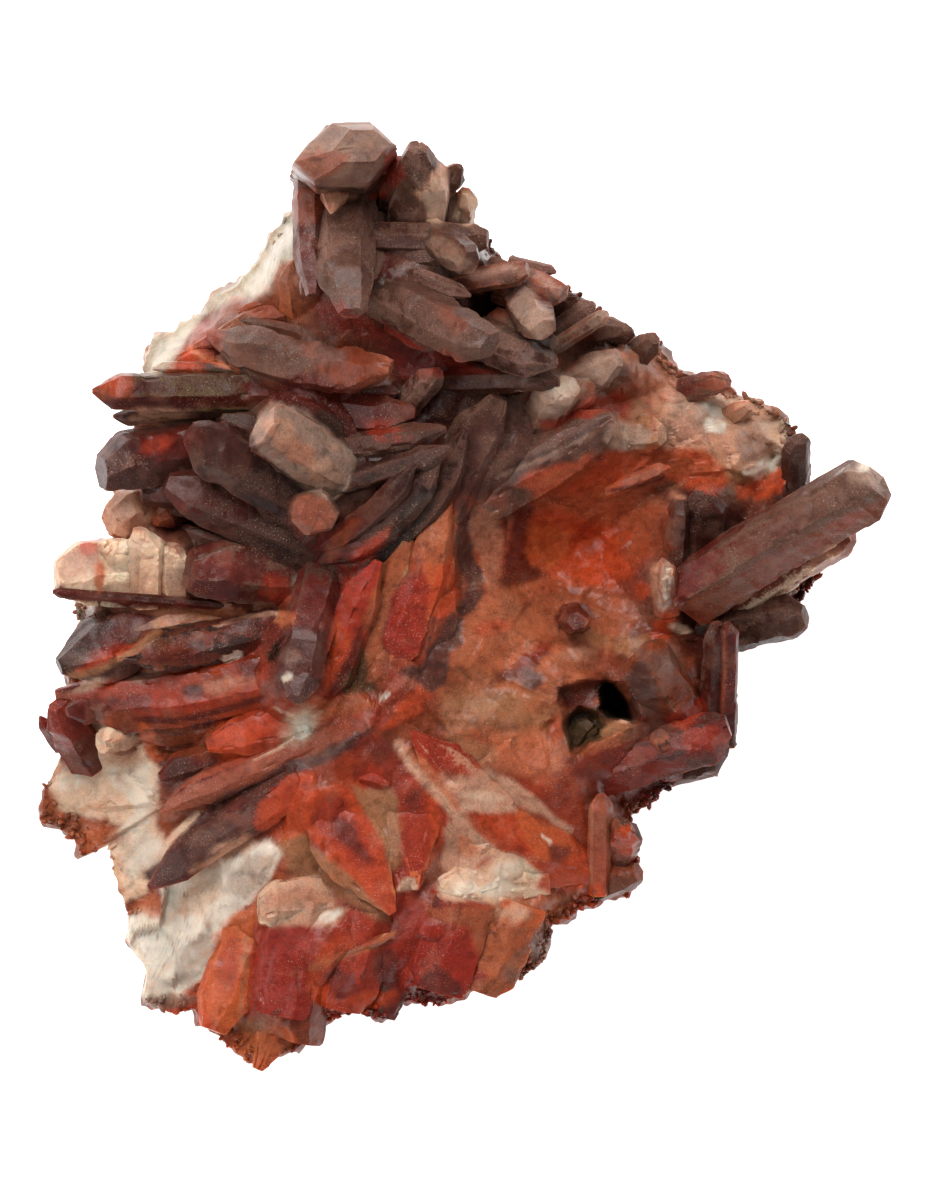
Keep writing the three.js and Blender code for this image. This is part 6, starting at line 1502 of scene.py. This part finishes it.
# The broken side has rock colours of its own, each where haze of its own seed rises over a level.
ROCK = [("blush", -0.1, 81), ("ash", 0.05, 84), ("shell", 0.2, 82), ("garnet", 0.15, 85)]
fallen = np.repeat(np.linspace(0, 1, SIDE_ROWS + 1)[1:], 4 * PLATE_SQUARES)
fallen = np.concatenate([np.zeros((PLATE_SQUARES + 1) ** 2), fallen, [1]])
fallen = fallen + 0.15 * rugged(plate_points, 5, 83)
rock = linear("bark") * np.ones((len(plate_points), 3))
for rock_name, rock_level, rock_seed in ROCK:
    rock_haze = rugged(plate_points * (1, 1, 1.7), 9, rock_seed)
    rock = rock + smooth(rock_level, rock_level + 0.25, rock_haze)[:, None] * (linear(rock_name) - rock)
plate_tint = plate_tint + 0.85 * smooth(0.02, 0.4, fallen)[:, None] * (rock - plate_tint)
plate_tint = flecked(plate_points, plate_tint)
splinter_tone, splinter_seam = shattered(plate_points[:, 0], plate_points[:, 1], 5.2, 5, 0, 1.0)
pale_share = smooth(0.2, 0.45, plate_tint[:, 2])
plate_tint = plate_tint * (1 + (0.16 + 0.1 * pale_share) * splinter_tone)[:, None]
plate_tint = plate_tint * (1 - 0.2 * pale_share * smooth(0.12, 0.03, splinter_seam))[:, None]
# Painted shade: the plate is darkened by up to 35 % where it lies lower than 5 mm, in the deep pockets and
# low on the broken side by the table.
plate_tint = plate_tint * (1 - 0.35 * smooth(5.0, 1.0, plate_points[:, 2])[:, None])
plate_veil = 0.6 * plate_tint + 0.4 * linear("bark")
plate_values = {"tint": plate_tint, "veil": plate_veil, "cover": plate_cover}
plate = make_mesh("massive_quartz_plate", plate_points, plate_faces, 30, **plate_values)
settle(plate, stone_finish("massive_quartz", 0.04, 0.6, 0.3))


# ------------------------------------------------------------------ the crumbs
# Fifteen hundred tiny crystals of the same quartz, standing close together along the crumbling rim and
# thinly where the stone broke rough, but not on its milky parts. Each has the colour of its place.
CRUMBS = 1500
CRUMB_POINTS = 14  # of one crumb: two rings of six, a peak and a foot
CRUMB_VEIL = 0.2  # how much of a crumb the veil covers
SIXTHS = np.arange(6) * math.pi / 3  # the directions of a crumb's edges


def crumbs_mesh():
    """Tiny six-sided crystals as whole arrays: two rings of six and a peak for each, set on random points
    of the plate's top with a random lean."""
    top_count = (PLATE_SQUARES + 1) ** 2
    lucky = np.random.default_rng(8)
    index = np.arange(top_count)
    row, column = np.divmod(index, PLATE_SQUARES + 1)
    out = np.maximum(np.abs(2 * row / PLATE_SQUARES - 1), np.abs(2 * column / PLATE_SQUARES - 1))
    x, y = plate_points[:top_count, 0], plate_points[:top_count, 1]
    wanted = 0.006 * roughness(x, y) + smooth(0.94, 0.99, out)
    wanted = wanted * smooth(0.32, 0.14, plate_tint[:top_count, 2]) * ((x > -24) | (y < 27))
    seat = lucky.choice(index, CRUMBS, replace=False, p=wanted / wanted.sum())
    place = plate_points[seat]
    size = 0.12 + 0.34 * lucky.random(CRUMBS) ** 2
    long = size * (1.6 + 2.2 * lucky.random(CRUMBS))
    lean = lucky.normal(0, 0.9, (CRUMBS, 2)) + 0.35 * (place[:, :2] - MIDDLE) / 45
    axis = np.concatenate([lean, np.ones((CRUMBS, 1))], axis=1)
    axis = axis / np.linalg.norm(axis, axis=1, keepdims=True)
    side = np.cross(axis, (0.3, 1, 0))
    side = side / np.linalg.norm(side, axis=1, keepdims=True)
    up = np.cross(axis, side)
    spin = SIXTHS + lucky.random((CRUMBS, 1))
    around = np.cos(spin)[..., None] * side[:, None] + np.sin(spin)[..., None] * up[:, None]
    wide = size[:, None, None] * around
    base = place[:, None] - 0.6 * size[:, None, None] * axis[:, None] + wide
    shoulder = place[:, None] + (0.62 * long)[:, None, None] * axis[:, None] + 0.9 * wide
    peak = place + long[:, None] * axis
    bottom = place - 0.6 * size[:, None] * axis
    points = np.concatenate([base, shoulder, peak[:, None], bottom[:, None]], axis=1)
    lower = CRUMB_POINTS * np.arange(CRUMBS)[:, None] + np.arange(6)
    lower_next = np.roll(lower, -1, axis=1)
    upper, upper_next = lower + 6, lower_next + 6
    top = np.repeat(lower[:, :1] + 12, 6, axis=1)
    foot = top + 1
    wall = np.stack([lower, lower_next, upper_next, upper], axis=-1)
    point = np.stack([upper, upper_next, top, top], axis=-1)
    floor = np.stack([lower_next, lower, foot, foot], axis=-1)
    faces = np.concatenate([wall, point, floor]).reshape(-1, 4)
    shade = 0.5 + 0.6 * lucky.random((CRUMBS, 1))
    tint = np.repeat(plate_tint[seat] * shade, CRUMB_POINTS, axis=0)
    return points.reshape(-1, 3), faces, tint


crumb_points, crumb_faces, crumb_tint = crumbs_mesh()
crumb_cover = np.full(len(crumb_points), CRUMB_VEIL)
crumb_values = {"tint": crumb_tint, "veil": 0.7 * crumb_tint, "cover": crumb_cover}
crumbs = make_mesh("quartz_crumbs", crumb_points, crumb_faces, 20, **crumb_values)
settle(crumbs, crystal_finish)


# ------------------------------------------------------------------ the studio
# A pale table, a dim even sky, broad soft lamps beyond the head and the left side of the cluster, and a
# camera that looks straight down from far away.
CAMERA_HEIGHT = 2.4
VIEW_LENGTH = 0.150  # length of table that the picture takes in
SENSOR = 36.0  # width of the camera's sensor, in its lens's own millimetres
TABLE_REACH = 3.0
TABLE_GLOW = 0.95
SKY_GLOW = 0.34

table_mesh = bpy.data.meshes.new("table_top")
table_corners = [(a * TABLE_REACH, b * TABLE_REACH, 0) for a, b in ((-1, -1), (1, -1), (1, 1), (-1, 1))]
table_mesh.from_pydata(table_corners, [], [(0, 1, 2, 3)])
table_top = bpy.data.objects.new("table_top", table_mesh)
bpy.context.scene.collection.objects.link(table_top)
table_finish = bpy.data.materials.new("pale_table")
table_finish.use_nodes = True
Wire.tree = table_finish.node_tree
Wire.tree.nodes.clear()
lit = {"Base Color": (0.93, 0.93, 0.93, 1), "Roughness": 0.9}
lit = {**lit, "Emission Color": (1, 1, 1, 1), "Emission Strength": TABLE_GLOW}
Wire.node("ShaderNodeOutputMaterial", {}, {"Surface": Wire.node("ShaderNodeBsdfPrincipled", {}, lit)})
table_mesh.materials.append(table_finish)

sky = bpy.data.worlds.new("sky")
sky.use_nodes = True
sky.node_tree.nodes["Background"].inputs["Color"].default_value = (1, 1, 1, 1)
sky.node_tree.nodes["Background"].inputs["Strength"].default_value = SKY_GLOW
bpy.context.scene.world = sky

# Each lamp: name, size, power, place, turn about X and Y in degrees.
LAMPS = [
    ("head_lamp", 0.65, 8.6, (-0.1, 0.55, 0.75), (-36, -8)),
    ("left_lamp", 0.6, 2.6, (-0.6, -0.1, 0.7), (8, -40)),
]
for lamp_name, size, power, place, (turn_x, turn_y) in LAMPS:
    lamp_data = bpy.data.lights.new(lamp_name, "AREA")
    lamp_data.shape = "DISK"
    lamp_data.size = size
    lamp_data.energy = power
    lamp = bpy.data.objects.new(lamp_name, lamp_data)
    lamp.location = place
    lamp.rotation_euler = (math.radians(turn_x), math.radians(turn_y), 0)
    bpy.context.scene.collection.objects.link(lamp)

camera_data = bpy.data.cameras.new("camera")
camera_data.sensor_width = SENSOR
camera_data.lens = SENSOR * CAMERA_HEIGHT / VIEW_LENGTH
camera = bpy.data.objects.new("camera", camera_data)
camera.location = (0, 0, CAMERA_HEIGHT)
bpy.context.scene.collection.objects.link(camera)
bpy.context.scene.camera = camera
bpy.context.scene.view_settings.view_transform = "Standard"
